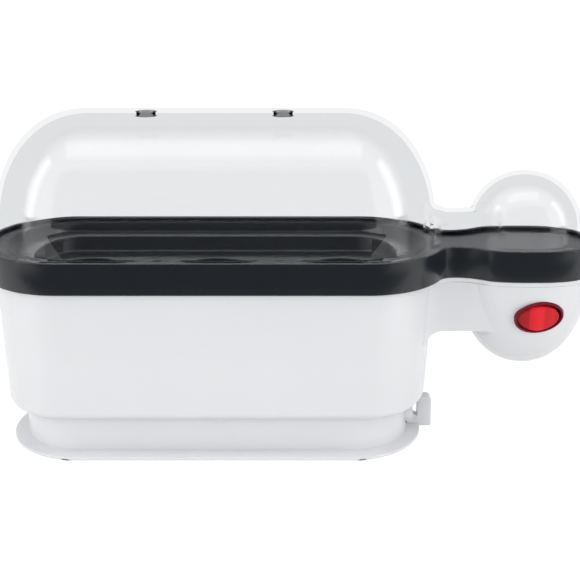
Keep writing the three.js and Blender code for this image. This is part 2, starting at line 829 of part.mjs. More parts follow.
function cordBush() {
  const far_y = bush_y - bush_radius - bush_lip;
  const half_length = core_half_length - collar_wall - core_straight;
  const wall_x = core_straight + half_length * Math.sqrt(1 - (far_y / (core_half_depth - collar_wall)) ** 2);
  const lip_face = wall_x - fit_gap;
  const sleeve = bar(bush_radius, lip_face - bush_lip_thick, core_half_length + bush_reach, bush_y, z_bush);
  const lip = bar(bush_radius + bush_lip, lip_face - bush_lip_thick, lip_face, bush_y, z_bush);
  return sleeve.add(lip).subtract(bar(bush_bore, core_straight, flange_half_length, bush_y, z_bush));
}

// Water pan: drafted dish with a flat rim and four welded studs
function panSkin(inset, floor, top) {
  const ring = (lean, z) => {
    const straight = band_straight - pan_floor_round;
    return oblongRing(pan_half_length - lean, pan_half_depth - lean, straight, z);
  };
  const rings = [];
  for (let step = 0; step <= pan_round_steps; step += 1) {
    const angle = (Math.PI * step) / (2 * pan_round_steps);
    const lean = pan_taper + pan_floor_round * (1 - Math.sin(angle)) + inset;
    rings.push(ring(lean, floor + pan_floor_round * (1 - Math.cos(angle))));
  }
  return loft([...rings, ring(inset, top)]);
}

function heatingPan() {
  const rim = collarSolid(seal_setback, z_seal, z_pan_flange);
  const studs = corners(stud_x, stud_y).map(([x, y]) => (
    post(stud_radius, x, y, z_lug - lug_thick - nut_thick - stud_tip, z_pan_under + pan_wall / 2)));
  return union([panSkin(0, z_pan_under, z_pan_flange), rim, ...studs])
    .subtract(panSkin(pan_wall, z_pan_under + pan_wall, z_pan_flange + cut_overrun));
}

function panSeal() {
  return collarSolid(seal_setback, z_collar, z_seal)
    .subtract(collarSolid(collar_wall - seal_setback, z_body, z_band_top));
}

function panNuts() {
  const high = z_lug - lug_thick;
  return corners(stud_x, stud_y).map(([x, y], k) => {
    const bore = post(stud_radius + fit_gap, x, y, z_body, z_band);
    const nut = post(nut_radius, x, y, high - nut_thick, high, nut_sides);
    return piece(`pan_nut_${k + 1}`, 'steel', nut.subtract(bore));
  });
}

// Tubular heating element bonded under the pan, a loop left open towards the pod
const z_element = z_pan_under - fit_gap - element_radius;

function elementPlace(angle) {
  const x = element_half_length * Math.cos(angle);
  return new THREE.Vector3(x, element_half_depth * Math.sin(angle), z_element);
}

function heatingElement() {
  const points = [];
  for (let step = 0; step <= element_steps; step += 1) {
    const share = step / element_steps;
    points.push(elementPlace(element_opening + 2 * (Math.PI - element_opening) * share));
  }
  return tube(points, element_radius, element_sides, element_steps);
}

const z_control = z_pan_under - fit_gap;

function thermostat() {
  const flange = post(thermostat_radius, 0, 0, z_control - thermostat_flange, z_control, round_steps);
  const can_radius = thermostat_radius - thermostat_flange;
  return flange.add(post(can_radius, 0, 0, z_control - thermostat_height, z_control, round_steps));
}

const z_fuse = z_control - fuse_clip_wall - fit_gap - fuse_radius;

function thermalFuse() {
  return bar(fuse_radius, fuse_offset - fuse_length / 2, fuse_offset + fuse_length / 2, 0, z_fuse);
}

function fuseClip() {
  const half = fuse_clip_length / 2;
  const reach = fuse_radius + fit_gap;
  const outside = box(fuse_offset - half, fuse_offset + half, -reach - fuse_clip_wall, reach + fuse_clip_wall,
    z_fuse - reach - fuse_clip_wall, z_control);
  return outside.subtract(bar(reach, fuse_offset - fuse_length, fuse_offset + fuse_length, 0, z_fuse));
}

// Terminal block on the base plate, with its three clamping screws
const block_pitch = block_length / 3;
const block_places = [-block_pitch, 0, block_pitch].map((x) => block_x + x);

const z_port = z_groove + block_height / 2;
const port_half = wire_radius + fit_gap;

function terminalBlock() {
  const wells = block_places.map((x) => post(block_screw_radius + fit_gap, x, 0, z_port, z_band));
  const ports = block_places.map((x) => (
    box(x - port_half, x + port_half, -block_depth, block_depth, z_port - port_half, z_port + port_half)));
  const half = block_length / 2;
  const depth = block_depth / 2;
  return box(block_x - half, block_x + half, -depth, depth, z_groove, z_groove + block_height)
    .subtract(union([...wells, ...ports]));
}

function terminalScrews() {
  const low = z_port + port_half + fit_gap;
  return block_places.map((x, k) => {
    const shape = post(block_screw_radius, x, 0, low, low + block_screw_length);
    return piece(`terminal_screw_${k + 1}`, 'brass', shape);
  });
}

// Strap that grips the cord inside, screwed to two posts of the base plate
function cordClamp() {
  const half = cord_clamp_length / 2;
  const strap = box(clamp_x - cord_clamp_width / 2, clamp_x + cord_clamp_width / 2, -half, half,
    z_clamp, z_clamp + cord_clamp_thick);
  return strap.subtract(atClamp(screw_radius + fit_gap, z_groove, z_band));
}

function cordClampScrews() {
  const face = z_clamp + cord_clamp_thick;
  const length = face - z_groove - screw_head_thick / 2;
  return [-clamp_y, clamp_y].map((y, k) => (
    piece(`cord_clamp_screw_${k + 1}`, 'steel', screw(clamp_x, y, face, length, false))));
}

// Three wires from the switch, through the bridge and down to the front of the block
function switchWires() {
  const z_lane = z_bridge + body_wall + tunnel_height / 2;
  const colours = ['red_wire', 'blue_wire', 'white_wire'];
  return blade_places.map((x, k) => {
    const blade = new THREE.Vector3(x, y_switch_back + blade_length + fit_gap + wire_radius, 0);
    const start = blade.applyMatrix4(switch_frame.matrix);
    const lane = (k - 1) * wire_lane;
    const points = [
      start,
      new THREE.Vector3(start.x - pod_half_width / 2, lane, z_lane),
      new THREE.Vector3(band_half_length + neck_length / 2, lane, z_lane),
      new THREE.Vector3(core_half_length, lane, z_lane - tunnel_height / 2),
      new THREE.Vector3(block_x + block_length, lane - block_depth, (z_lane + z_port) / 2),
      new THREE.Vector3(block_places[k] + wire_lane / 2, -block_depth, z_port + wire_lane),
      new THREE.Vector3(block_places[k], -block_depth / 2 - fit_gap, z_port),
    ];
    return piece(`switch_wire_${k + 1}`, colours[k], tube(points, wire_radius, wire_sides, wire_steps));
  });
}

function leaveBlock(x) {
  return [[x, block_depth / 2 + fit_gap, z_port], [x, block_depth, z_port + wire_slack]];
}

// Heater circuit: block to thermostat, on to the fuse, on to one end of the element, and the
// element's other end back to the block
function heaterWires() {
  const z_tab = z_control - thermostat_height - fit_gap;
  const z_end = z_element - element_radius - fit_gap;
  const tab = thermostat_radius / 2;
  const [near_end, far_end] = [-2 * element_opening, 2 * element_opening].map(elementPlace);
  const fuse_ends = [-1, 1].map((side) => fuse_offset + side * (fuse_length / 2 + fit_gap));
  const routes = [
    [...leaveBlock(block_places[1]), [block_x / 2, block_depth, z_body],
      [-tab, wire_slack, z_tab - 2 * wire_slack], [-tab, 0, z_tab - wire_lead], [-tab, 0, z_tab]],
    [[tab, 0, z_tab], [tab, 0, z_tab - wire_lead], [fuse_ends[0] - wire_slack, 0, z_tab - wire_lead],
      [fuse_ends[0] - wire_lead, 0, z_fuse], [fuse_ends[0], 0, z_fuse]],
    [[fuse_ends[1], 0, z_fuse], [fuse_ends[1] + wire_lead, 0, z_fuse],
      [near_end.x - wire_lead, near_end.y / 2, z_end - wire_slack],
      [near_end.x, near_end.y, z_end - wire_lead], [near_end.x, near_end.y, z_end]],
    [...leaveBlock(block_places[2]), [far_end.x + wire_slack, block_depth, z_body],
      [far_end.x, far_end.y, z_end - 2 * wire_slack], [far_end.x, far_end.y, z_end]],
  ];
  const colours = ['blue_wire', 'white_wire', 'white_wire', 'red_wire'];
  return routes.map((route, k) => {
    const points = route.map((place) => new THREE.Vector3(...place));
    return piece(`heater_wire_${k + 1}`, colours[k], tube(points, wire_radius, wire_sides, wire_steps));
  });
}

// Egg tray: band round base and pod, shelf, well with egg holes, and a rebate for the lid
function trayHollow() {
  const rebate = oblong(band_half_length - rebate_wall, band_half_depth - rebate_wall, band_straight,
    z_rebate, z_band_top + cut_overrun);
  const arm_rebate = armOutline(rebate_wall, z_rebate, z_band_top + cut_overrun);
  const slope_length = band_half_length - rebate_wall - lid_flange_width - lid_wall;
  const slope_depth = band_half_depth - rebate_wall - lid_flange_width - lid_wall;
  const slope = loft([
    oblongRing(slope_length - tray_end_slope, slope_depth - tray_side_slope, shelf_straight, z_shelf),
    oblongRing(slope_length, slope_depth, shelf_straight, z_band_top + cut_overrun),
  ]);
  const well = loft([
    oblongRing(shelf_half_length - well_taper, shelf_half_depth - well_taper, shelf_straight, z_well),
    oblongRing(shelf_half_length, shelf_half_depth, shelf_straight, z_band_top),
  ]);
  return union([rebate, arm_rebate, slope, well]);
}

function eggTray() {
  const band = oblong(band_half_length, band_half_depth, band_straight, z_band, z_band_top);
  const arm = armOutline(0, z_band, z_band_top);
  const under = oblong(band_half_length - band_wall, band_half_depth - band_wall, band_straight,
    z_band - cut_overrun, z_shelf_under);
  const arm_under = armOutline(band_wall, z_band - cut_overrun, z_rebate - tray_wall)
    .subtract(oblong(band_half_length, band_half_depth, band_straight, z_body, z_band_top));
  const well_wall = oblong(shelf_half_length + tray_wall, shelf_half_depth + tray_wall, shelf_straight,
    z_well - tray_wall, z_shelf);
  const holes = [-egg_pitch, 0, egg_pitch].map((x) => (
    post(egg_hole_radius, x, 0, z_body, z_band_top, 2 * small_steps)));
  const steam_holes = [-egg_pitch / 2, egg_pitch / 2].map((x) => (
    post(steam_hole_radius, x, 0, z_body, z_band_top)));
  return band.add(arm)
    .subtract(under)
    .subtract(arm_under)
    .add(well_wall)
    .subtract(trayHollow())
    .subtract(union([...holes, ...steam_holes]));
}

// Clear lid: long dome, low roof over the bridge and small dome over the pod, on one flat rim
function lidDome(inset, low) {
  const half_length = band_half_length - lid_inset - inset;
  const half_depth = band_half_depth - lid_inset - inset;
  const z_wall = z_band_top + lid_wall_height;
  const rise = z_lid_top - z_wall - inset;
  const rings = [oblongRing(half_length, half_depth, lid_straight, low)];
  for (let step = 0; step <= lid_levels; step += 1) {
    const angle = (Math.PI * step) / (2 * lid_levels);
    const lean = lid_lean + lid_round * (1 - Math.cos(angle));
    const z = z_wall + rise * Math.sin(angle);
    rings.push(oblongRing(half_length - lean, half_depth - lean, lid_straight, z));
  }
  return loft(rings);
}

function podDome(inset, low) {
  const z_wall = z_band_top + dome_wall_height;
  const half_width = dome_half_width - inset;
  const half_depth = dome_half_depth - inset;
  const rings = [podRing(half_width, half_depth, dome_squareness, low)];
  for (let step = 0; step < lid_levels; step += 1) {
    const angle = (Math.PI * step) / (2 * lid_levels);
    const scale = Math.cos(angle);
    const z = z_wall + half_width * Math.sin(angle);
    rings.push(podRing(half_width * scale, half_depth * scale, dome_squareness, z));
  }
  const tip_width = half_width * dome_tip_share;
  const tip = podRing(tip_width, half_depth * dome_tip_share, dome_squareness, z_wall + half_width);
  return loft([...rings, tip]);
}

const lid_end_inset = lid_inset + lid_lean;
const lid_end = [band_half_length - lid_end_inset, band_half_depth - lid_end_inset, lid_straight];
const z_roof = z_band_top + lid_bridge_height;

function lidBridgePlan(inset) {
  return bridgePlan(lid_inset + inset, lid_end, [dome_half_width, dome_half_depth, dome_squareness]);
}

function lidFillet() {
  const z_wall = z_band_top + lid_wall_height;
  const ringAt = (z, reach) => {
    const climb = Math.max(z - z_wall, 0) / (z_lid_top - z_wall);
    const out = reach - lid_round * (1 - Math.sqrt(1 - climb ** 2));
    return oblongRing(lid_end[0] + out, lid_end[1] + out, lid_straight, z);
  };
  const fillet = rootFillet(ringAt, lid_bridge_round, z_roof + lid_bridge_round, z_roof, z_roof - lid_wall);
  return fillet.intersect(prism(lidBridgePlan(0), z_band_top, z_lid_top));
}

function lid() {
  const rim_inset = rebate_wall + fit_gap;
  const rim = oblong(band_half_length - rim_inset, band_half_depth - rim_inset, band_straight,
    z_rebate, z_lid_flange).add(armOutline(rim_inset, z_rebate, z_lid_flange));
  const bridge = prism(lidBridgePlan(0), z_rebate, z_roof);
  const outside = union([rim, lidDome(0, z_rebate), bridge, lidFillet(), podDome(0, z_rebate)]);
  const dome_hollow = lidDome(lid_wall, z_rebate - cut_overrun);
  const pod_hollow = podDome(lid_wall, z_rebate - cut_overrun);
  const bridge_hollow = prism(lidBridgePlan(lid_wall), z_rebate - cut_overrun, z_roof - lid_wall)
    .subtract(lidDome(0, z_body)).subtract(podDome(0, z_body));
  const vents = [-vent_place, vent_place].map((x) => (
    post(vent_radius, x, 0, z_band_top, z_lid_top + cut_overrun)));
  return outside.subtract(union([dome_hollow, pod_hollow, bridge_hollow, ...vents]));
}

// The whole, moved so that the origin is below the middle of its bounding box
const appliance = new THREE.Group();
appliance.name = 'egg_boiler';
appliance.position.x = -(pod_x + pod_half_width - band_half_length) / 2;
appliance.add(
  piece('housing', 'white_plastic', housing()),
  piece('pod_cover', 'white_plastic', podCover()),
  piece('base_plate', 'white_plastic', basePlate()),
  piece('cord_guide', 'white_plastic', guideSolid(0)),
  piece('cord_bush', 'black_plastic', cordBush()),
  piece('cord_clamp', 'black_plastic', cordClamp()),
  piece('terminal_block', 'ceramic', terminalBlock()),
  piece('heating_pan', 'pan_coating', heatingPan()),
  piece('pan_seal', 'silicone', panSeal()),
  piece('heating_element', 'steel', heatingElement()),
  piece('thermostat', 'steel', thermostat()),
  piece('thermal_fuse', 'ceramic', thermalFuse()),
  piece('fuse_clip', 'steel', fuseClip()),
  piece('egg_tray', 'dark_plastic', eggTray()),
  piece('lid', 'clear_plastic', lid()),
  ...feet(),
  ...baseScrews(),
  ...coverScrews(),
  ...panNuts(),
  ...terminalScrews(),
  ...cordClampScrews(),
  ...switchWires(),
  ...heaterWires(),
  switchParts(),
);

export default appliance;
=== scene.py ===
# Steam egg boiler for three eggs: white base with a switch pod on its right end, dark egg tray
# that caps both, and a clear lid. The object's sizes are in millimetres, which mm turns into
# metres, and the studio's are in metres. X starts at the base's middle and Z at the ground.

from math import asin, copysign, cos, pi, radians, sin, sqrt, tan

import bmesh
import bpy
from mathutils import Euler, Matrix, Vector


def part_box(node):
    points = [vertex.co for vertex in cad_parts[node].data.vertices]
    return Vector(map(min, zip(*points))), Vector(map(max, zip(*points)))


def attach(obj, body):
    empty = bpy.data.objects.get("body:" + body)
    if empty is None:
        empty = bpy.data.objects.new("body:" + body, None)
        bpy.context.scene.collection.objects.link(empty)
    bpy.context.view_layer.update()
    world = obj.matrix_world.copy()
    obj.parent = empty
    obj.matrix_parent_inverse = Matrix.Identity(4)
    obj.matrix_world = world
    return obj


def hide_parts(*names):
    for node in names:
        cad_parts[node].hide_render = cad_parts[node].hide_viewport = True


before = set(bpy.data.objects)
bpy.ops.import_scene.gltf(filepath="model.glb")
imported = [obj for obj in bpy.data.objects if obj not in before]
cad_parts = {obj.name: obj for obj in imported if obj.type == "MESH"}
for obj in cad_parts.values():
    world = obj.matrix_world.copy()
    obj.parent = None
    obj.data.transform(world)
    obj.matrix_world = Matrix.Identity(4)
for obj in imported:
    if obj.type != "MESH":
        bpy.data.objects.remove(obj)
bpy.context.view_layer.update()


# Housing: one glossy white moulding, a drafted oblong body over a recessed core, with a low
# collar on top and a bridge to the ball-shaped pod. Injection moulded, open above and below.
mm = 0.001
plate_low, plate_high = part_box("base_plate")
middle = (plate_low[0] + plate_high[0]) / 2
outline_points = 96


def pick_ring(count, side=0):
    """Selects the last ring of points, or the half of it on one side of the middle."""
    bpy.ops.mesh.select_all(action="DESELECT")
    mesh = bmesh.from_edit_mesh(bpy.context.object.data)
    mesh.verts.ensure_lookup_table()
    for point in mesh.verts[len(mesh.verts) - count:]:
        point.select = side == 0 or (point.co.x - middle) * side > 0
    mesh.select_flush(True)
    bmesh.update_edit_mesh(bpy.context.object.data)


def close_ends(count):
    """Gives the first and the last ring a flat face, and turns all faces outwards."""
    pick_ring(count)
    bpy.ops.mesh.edge_face_add()
    bpy.ops.mesh.select_all(action="DESELECT")
    mesh = bmesh.from_edit_mesh(bpy.context.object.data)
    mesh.verts.ensure_lookup_table()
    for point in mesh.verts[:count]:
        point.select = True
    mesh.select_flush(True)
    bmesh.update_edit_mesh(bpy.context.object.data)
    bpy.ops.mesh.edge_face_add()
    bpy.ops.mesh.select_all(action="SELECT")
    bpy.ops.mesh.normals_make_consistent(inside=False)
    bpy.ops.object.mode_set(mode="OBJECT")


def oblong(name, levels):
    """A ring drawn up level by level, each [z, half length, half depth, straight half]."""
    bottom = levels[0][0]
    bpy.ops.object.select_all(action="DESELECT")
    bpy.ops.mesh.primitive_circle_add(vertices=outline_points, radius=mm, location=(middle, 0, bottom * mm),
                                      rotation=(0, 0, pi / outline_points))
    bpy.ops.object.transform_apply(location=True, rotation=True, scale=True)
    shape = bpy.context.object
    shape.name = name
    bpy.ops.object.mode_set(mode="EDIT")
    was = (bottom, 1, 1, 0)
    for number, (z, length, depth, straight) in enumerate(levels):
        if number > 0:
            bpy.ops.mesh.extrude_region_move(TRANSFORM_OT_translate={"value": (0, 0, (z - was[0]) * mm)})
        for side in (-1, 1):
            pick_ring(outline_points, side)
            bpy.ops.transform.resize(value=((length - straight) / (was[1] - was[3]), depth / was[2], 1),
                                     center_override=(middle + side * was[3] * mm, 0, z * mm))
            bpy.ops.transform.translate(value=(side * (straight - was[3]) * mm, 0, 0))
        pick_ring(outline_points)
        was = (z, length, depth, straight)
    close_ends(outline_points)
    return shape


def loft(name, rings):
    """A ring drawn out through others of as many points, given in millimetres from the middle."""
    count = len(rings[0])
    bpy.ops.object.select_all(action="DESELECT")
    bpy.ops.mesh.primitive_circle_add(vertices=count, radius=mm, location=(0, 0, 0))
    shape = bpy.context.object
    shape.name = name
    bpy.ops.object.mode_set(mode="EDIT")
    for step, ring in enumerate(rings):
        if step > 0:
            bpy.ops.mesh.extrude_region_move(TRANSFORM_OT_translate={"value": (0, 0, mm)})
        mesh = bmesh.from_edit_mesh(shape.data)
        mesh.verts.ensure_lookup_table()
        for point, (x, y, z) in zip(mesh.verts[step * count:], ring):
            point.co = (middle + x * mm, y * mm, z * mm)
        bmesh.update_edit_mesh(shape.data)
    close_ends(count)
    return shape


def round_ring(x, y, radius, z, points):
    """A level circle."""
    turns = [2 * pi * k / points for k in range(points)]
    return [(x + radius * cos(turn), y + radius * sin(turn), z) for turn in turns]


def turned(name, x, y, radius, steps, points=48):
    """A round form on an upright axis, each step [z, inset]."""
    return loft(name, [round_ring(x, y, radius - inset, z, points) for z, inset in steps])


def finish_with(shape, kind, **settings):
    """Adds a modifier to a shape and applies it at once."""
    modifier = shape.modifiers.new(kind.title(), kind)
    for setting, value in settings.items():
        setattr(modifier, setting, value)
    bpy.ops.object.select_all(action="DESELECT")
    shape.select_set(True)
    bpy.context.view_layer.objects.active = shape
    bpy.ops.object.modifier_apply(modifier=modifier.name)


def combine(shape, others, operation):
    """Joins others to a shape, cuts them out of it or keeps what they share, and clears them away."""
    for other in others:
        finish_with(shape, "BOOLEAN", object=other, operation=operation, solver="EXACT")
        bpy.data.objects.remove(other)
    return shape


def smooth(shape, sharpest=32):
    """Shades a shape smooth but for edges that turn by more than the sharpest angle, in degrees."""
    bpy.ops.object.select_all(action="DESELECT")
    shape.select_set(True)
    bpy.context.view_layer.objects.active = shape
    bpy.ops.object.shade_smooth_by_angle(angle=radians(sharpest))


def dress(shape, material, body, slot, *nodes):
    """Gives a finished shape its material and its body, and hides the CAD nodes it stands for. The slot is
    not used.
    """
    shape.data.materials.clear()
    shape.data.materials.append(material)
    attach(shape, body)
    if nodes:
        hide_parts(*nodes)


def moulded(name, colour, shade, gloss, grain, depth):
    """Moulded plastic or rubber: a faint drift of colour and gloss, and a fine skin texture."""
    material = bpy.data.materials.new(name)
    material.use_nodes = True
    nodes, links = material.node_tree.nodes, material.node_tree.links
    skin = nodes["Principled BSDF"]
    place = nodes.new("ShaderNodeTexCoord")
    drift = nodes.new("ShaderNodeTexNoise")
    drift.inputs["Scale"].default_value = 28
    drift.inputs["Detail"].default_value = 3
    links.new(place.outputs["Object"], drift.inputs["Vector"])
    tone = nodes.new("ShaderNodeMix")
    tone.data_type = "RGBA"
    tone.inputs["A"].default_value = (*colour, 1)
    tone.inputs["B"].default_value = (*shade, 1)
    links.new(drift.outputs["Fac"], tone.inputs["Factor"])
    links.new(tone.outputs["Result"], skin.inputs["Base Color"])
    texture = nodes.new("ShaderNodeTexNoise")
    texture.inputs["Scale"].default_value = grain
    texture.inputs["Detail"].default_value = 2
    links.new(place.outputs["Object"], texture.inputs["Vector"])
    rough = nodes.new("ShaderNodeMapRange")
    rough.inputs["To Min"].default_value = gloss[0]
    rough.inputs["To Max"].default_value = gloss[1]
    links.new(texture.outputs["Fac"], rough.inputs["Value"])
    links.new(rough.outputs["Result"], skin.inputs["Roughness"])
    bump = nodes.new("ShaderNodeBump")
    bump.inputs["Distance"].default_value = depth
    bump.inputs["Strength"].default_value = 0.6
    links.new(texture.outputs["Fac"], bump.inputs["Height"])
    links.new(bump.outputs["Normal"], skin.inputs["Normal"])
    return material


def quarter_round(steps):
    """Rise and inset along a quarter round of radius 1, from its lowest point up to its side."""
    turns = [pi / 2 * step / steps for step in range(steps + 1)]
    return [(1 - cos(turn), 1 - sin(turn)) for turn in turns]


def narrowed(plan, inset):
    """A plan whose first two half sizes shrink by an inset, and whose third number stays."""
    return plan[0] - inset, plan[1] - inset, plan[2]


def walls(plan, steps):
    """Levels of an oblong from one plan, each step [z, inset]."""
    return [(z, *narrowed(plan, inset)) for z, inset in steps]


# An oblong's plan is its half length, its half depth and the half of its straight side.
core, core_low = (86.3, 34.4, 60), 1.8
body, body_low, body_high = (97.7, 47.8, 66), 18.3, 75.3
body_round, body_ease, body_draft = 3.0, 0.4, tan(radians(4))
collar, collar_high, collar_ease = (95.7, 45.8, 66), 77.5, 0.3
wall, thin_wall = 2.4, 2.2

# The pod's bowl swells from its lowest point up to a plan of half width, half depth and squareness.
pod_x, pod_drop, pod_belly = 137.4, 42.5, 2.2
pod_half_width, pod_half_depth, pod_squaring = 28.9, 26.9, 0.7
bowl_steps, bowl_fall, least_gap = 32, 0.9999, 0.05
bridge_half, bridge_inset, bridge_low, bridge_root = 18, 0.6, 51.0, 6.0
bridge_flare, bridge_steps, pod_flare = 6, 10, 0.7
cover_low = 73.3


def body_end(z, inset=0.0):
    """Plan of the drafted body at a height."""
    return narrowed(body, (body_high - z) * body_draft + inset)


def pod_level(z, inset=0.0):
    """Half width, half depth and squareness of the pod's bellied bowl at a height."""
    fall = (body_high - z) / (pod_drop - inset)
    scale = (1 - fall ** pod_belly) ** (1 / pod_belly)
    squareness = 2 + pod_squaring * (1 - fall) ** 2
    return (pod_half_width - inset) * scale, (pod_half_depth - inset) * scale, squareness


def pod_point(pod, turn, z):
    """A point of the pod's plan, which is an ellipse at squareness 2 and fuller above it."""
    half_width, half_depth, squareness = pod
    across, along = cos(turn), sin(turn)
    return (pod_x + half_width * copysign(abs(across) ** (2 / squareness), across),
            half_depth * copysign(abs(along) ** (2 / squareness), along), z)


def pod_ring(pod, z):
    """The pod's plan as a ring of points."""
    return [pod_point(pod, 2 * pi * step / outline_points, z) for step in range(outline_points)]


def bend(a, b, c, steps=14):
    """Points of a curve from a towards c, pulled to b."""
    shares = [step / steps for step in range(steps)]
    return [tuple((1 - t) ** 2 * p + 2 * t * (1 - t) * q + t * t * r for p, q, r in zip(a, b, c))
            for t in shares]


def bridge_ring(inset, end, pod, z):
    """Plan of the bridge, flared into the end of the body and into the pod."""
    length, depth, straight = end
    half_width, half_depth, squareness = pod
    half = bridge_half - inset
    wide = half + bridge_flare
    tip = half + pod_flare * (half_depth - half)

    def end_x(y):
        return straight + (length - straight) * sqrt(1 - (y / depth) ** 2)

    def near_x(y):
        return pod_x - half_width * (1 - (y / half_depth) ** squareness) ** (1 / squareness)

    halfway = (end_x(half) + near_x(half)) / 2
    front = [(straight, -wide)]
    front += bend((end_x(wide), -wide), (end_x(half), -half), (halfway, -half))
    front += bend((halfway, -half), (near_x(half), -half), (near_x(tip), -tip))
    front += [(near_x(tip), -tip), (pod_x, -tip)]
    return [(x, y, z) for x, y in front] + [(x, -y, z) for x, y in reversed(front)]


def bowl(name, inset, top):
    """The pod's bowl, from its lowest point up to a flat top."""
    rings = []
    for step in range(bowl_steps + 1):
        z = body_high - cos(pi / 2 * step / bowl_steps) * bowl_fall * (pod_drop - inset)
        if z < top - least_gap:
            rings.append(pod_ring(pod_level(z, inset), z))
    rings.append(pod_ring(pod_level(min(top, body_high), inset), top))
    return loft(name, rings)


def bridge(name, inset, low, top):
    """The bridge between body and pod, which follows the draft of both."""
    levels = [low + (top - low) * step / bridge_steps for step in range(bridge_steps + 1)]
    return loft(name, [bridge_ring(bridge_inset + inset, body_end(z, inset), pod_level(z, inset), z)
                       for z in levels])


outside = [(core_low, *core), (body_low, *core)]
for rise, inset in quarter_round(8):
    z = body_low + body_round * rise
    outside.append((z, *body_end(z, body_round * inset)))
side_levels = (40, 58, body_high - body_ease)
outside += [(z, *body_end(z)) for z in side_levels]
outside += [(body_high, *body_end(body_high, body_ease))]
outside += walls(collar, ((body_high, 0), (collar_high - collar_ease, 0), (collar_high, collar_ease)))
housing = oblong("housing_shell", outside)

fillet = []
for rise, inset in quarter_round(8):
    z = bridge_low - bridge_root * inset
    fillet.append((z, *body_end(z, -bridge_root * rise)))
fillet.append((bridge_low + wall, *body_end(bridge_low + wall, -bridge_root)))
root_fillet = oblong("root_fillet", fillet)
fillet_low, fillet_high = 30, 60
root_plan = loft("root_plan", [bridge_ring(bridge_inset, body_end(bridge_low), pod_level(bridge_low), z)
                               for z in (fillet_low, fillet_high)])
combine(root_fillet, [root_plan], "INTERSECT")
combine(housing, [bowl("pod_outside", 0, cover_low), bridge("bridge_outside", 0, bridge_low, cover_low),
                  root_fillet], "UNION")

pod_hollow = combine(bowl("pod_hollow", wall, cover_low + 1),
                     [bridge("bridge_hollow", wall, bridge_low + wall, cover_low + 1)], "UNION")
past_collar = 80
body_skin = oblong("body_skin", [(z, *body_end(z)) for z in (body_low, past_collar)])
combine(pod_hollow, [body_skin], "DIFFERENCE")
step_high, shoulder_low = body_low + wall, body_high - wall
hollow = walls(core, ((core_low - 0.9, thin_wall), (step_high, thin_wall)))
hollow += [(z, *body_end(z, wall)) for z in (step_high, shoulder_low)]
hollow += walls(collar, ((shoulder_low, thin_wall), (collar_high + 1.5, thin_wall)))
combine(housing, [pod_hollow, oblong("body_hollow", hollow)], "DIFFERENCE")

# The switch sits in an oval pocket with a hole, which faces the front's right corner. The cord's
# bush has a round hole in the right end of the core.
switch_middle = (pod_x + 3.9, -24.468, 59.5)
switch_turn = Euler((radians(12), 0, radians(13)), "ZXY").to_matrix().to_4x4()
switch_place = Matrix.Translation(switch_middle) @ switch_turn
switch_half_length, switch_half_height = 10.5, 6.5
oval_points = 72


def oval_ring(wider, depth):
    """An oval ring in the switch's own frame, where -Y faces out of the pod."""
    half_length, half_height = switch_half_length + wider, switch_half_height + wider
    turns = [2 * pi * k / oval_points for k in range(oval_points)]
    return [tuple(switch_place @ Vector((half_length * cos(turn), depth, half_height * sin(turn))))
            for turn in turns]


def oval(name, steps):
    """An oval form along the switch's axis, each step [how much wider than its hole, depth]."""
    return loft(name, [oval_ring(wider, depth) for wider, depth in steps])


pocket = oval("switch_pocket", ((2.1, -9), (1.1, -0.4), (1.1, 0), (0, 0), (0, 6)))
bush_y, bush_z, bush_radius, bush_near, bush_far = -7.9, 10.2, 4.7, 80, 92
bush_hole = loft("bush_hole", [[(x, y, z) for y, z, _ in round_ring(bush_y, bush_z, bush_radius, 0, 32)]
                               for x in (bush_near, bush_far)])
combine(housing, [pocket, bush_hole], "DIFFERENCE")
smooth(housing)

white_plastic = moulded("white_plastic", (0.80, 0.81, 0.83), (0.77, 0.78, 0.80), gloss=(0.20, 0.27),
                        grain=2600, depth=0.000012)
dress(housing, white_plastic, "base", "white_plastic", "housing")


# Pod cover: a thin white plate that closes the bridge and the pod from above, with a low lip
# that stands inside the tray's band. Moulded, held by two screws from above.
band, band_pod, tip_points = (102.5, 49.2, 66), (29.5, 27.5, 2.7), 60


def arm_ring(inset, end, pod, z):
    """Plan of bridge and pod in one, flared into the body's end."""
    plan = bridge_ring(inset, end, pod, z)
    half = len(plan) // 2
    front, back = plan[:half - 1], plan[half + 1:]
    tip_y = front[-1][1]
    reach = pi - asin((abs(tip_y) / pod[1]) ** (pod[2] / 2))
    turns = [-reach + 2 * reach * step / tip_points for step in range(1, tip_points)]
    return front + [pod_point(pod, turn, z) for turn in turns] + back


def arm(name, steps):
    """The arm of tray, cover or lid over bridge and pod, each step [z, inset from the band]."""
    return loft(name, [arm_ring(inset, narrowed(band, inset), narrowed(band_pod, inset), z)
                       for z, inset in steps])


lip_low, lip_high, lip_ease = 74, 78.3, 0.4
cover_edge = ((cover_low, 1.0), (73.4, 0.75), (73.7, bridge_inset), (body_high, bridge_inset))
cover = arm("pod_cover_plate", cover_edge)
lip = arm("cover_lip", ((lip_low, 2.5), (lip_high - lip_ease, 2.5), (lip_high, 2.8)))
lip_hollow = arm("lip_hollow", ((lip_low - 1, 4.1), (lip_high + 0.7, 4.1)))
beside_band = oblong("beside_band", walls(band, ((body_high, -0.3), (past_collar, -0.3))))
combine(lip, [lip_hollow, beside_band], "DIFFERENCE")
combine(cover, [lip], "UNION")
screw_radius, screw_apart, screw_y = 1.8, 13, 14
bore = ((70, 0), (past_collar, 0))
bores = [turned("cover_bore", pod_x + side * screw_apart, screw_y, screw_radius, bore, 32)
         for side in (-1, 1)]
beside_cover = oblong("body_beside_cover", [(z, *body_end(z, -0.3)) for z in (body_low, 90)])
combine(cover, bores + [beside_cover], "DIFFERENCE")
smooth(cover)
dress(cover, white_plastic, "base", "white_plastic", "pod_cover")


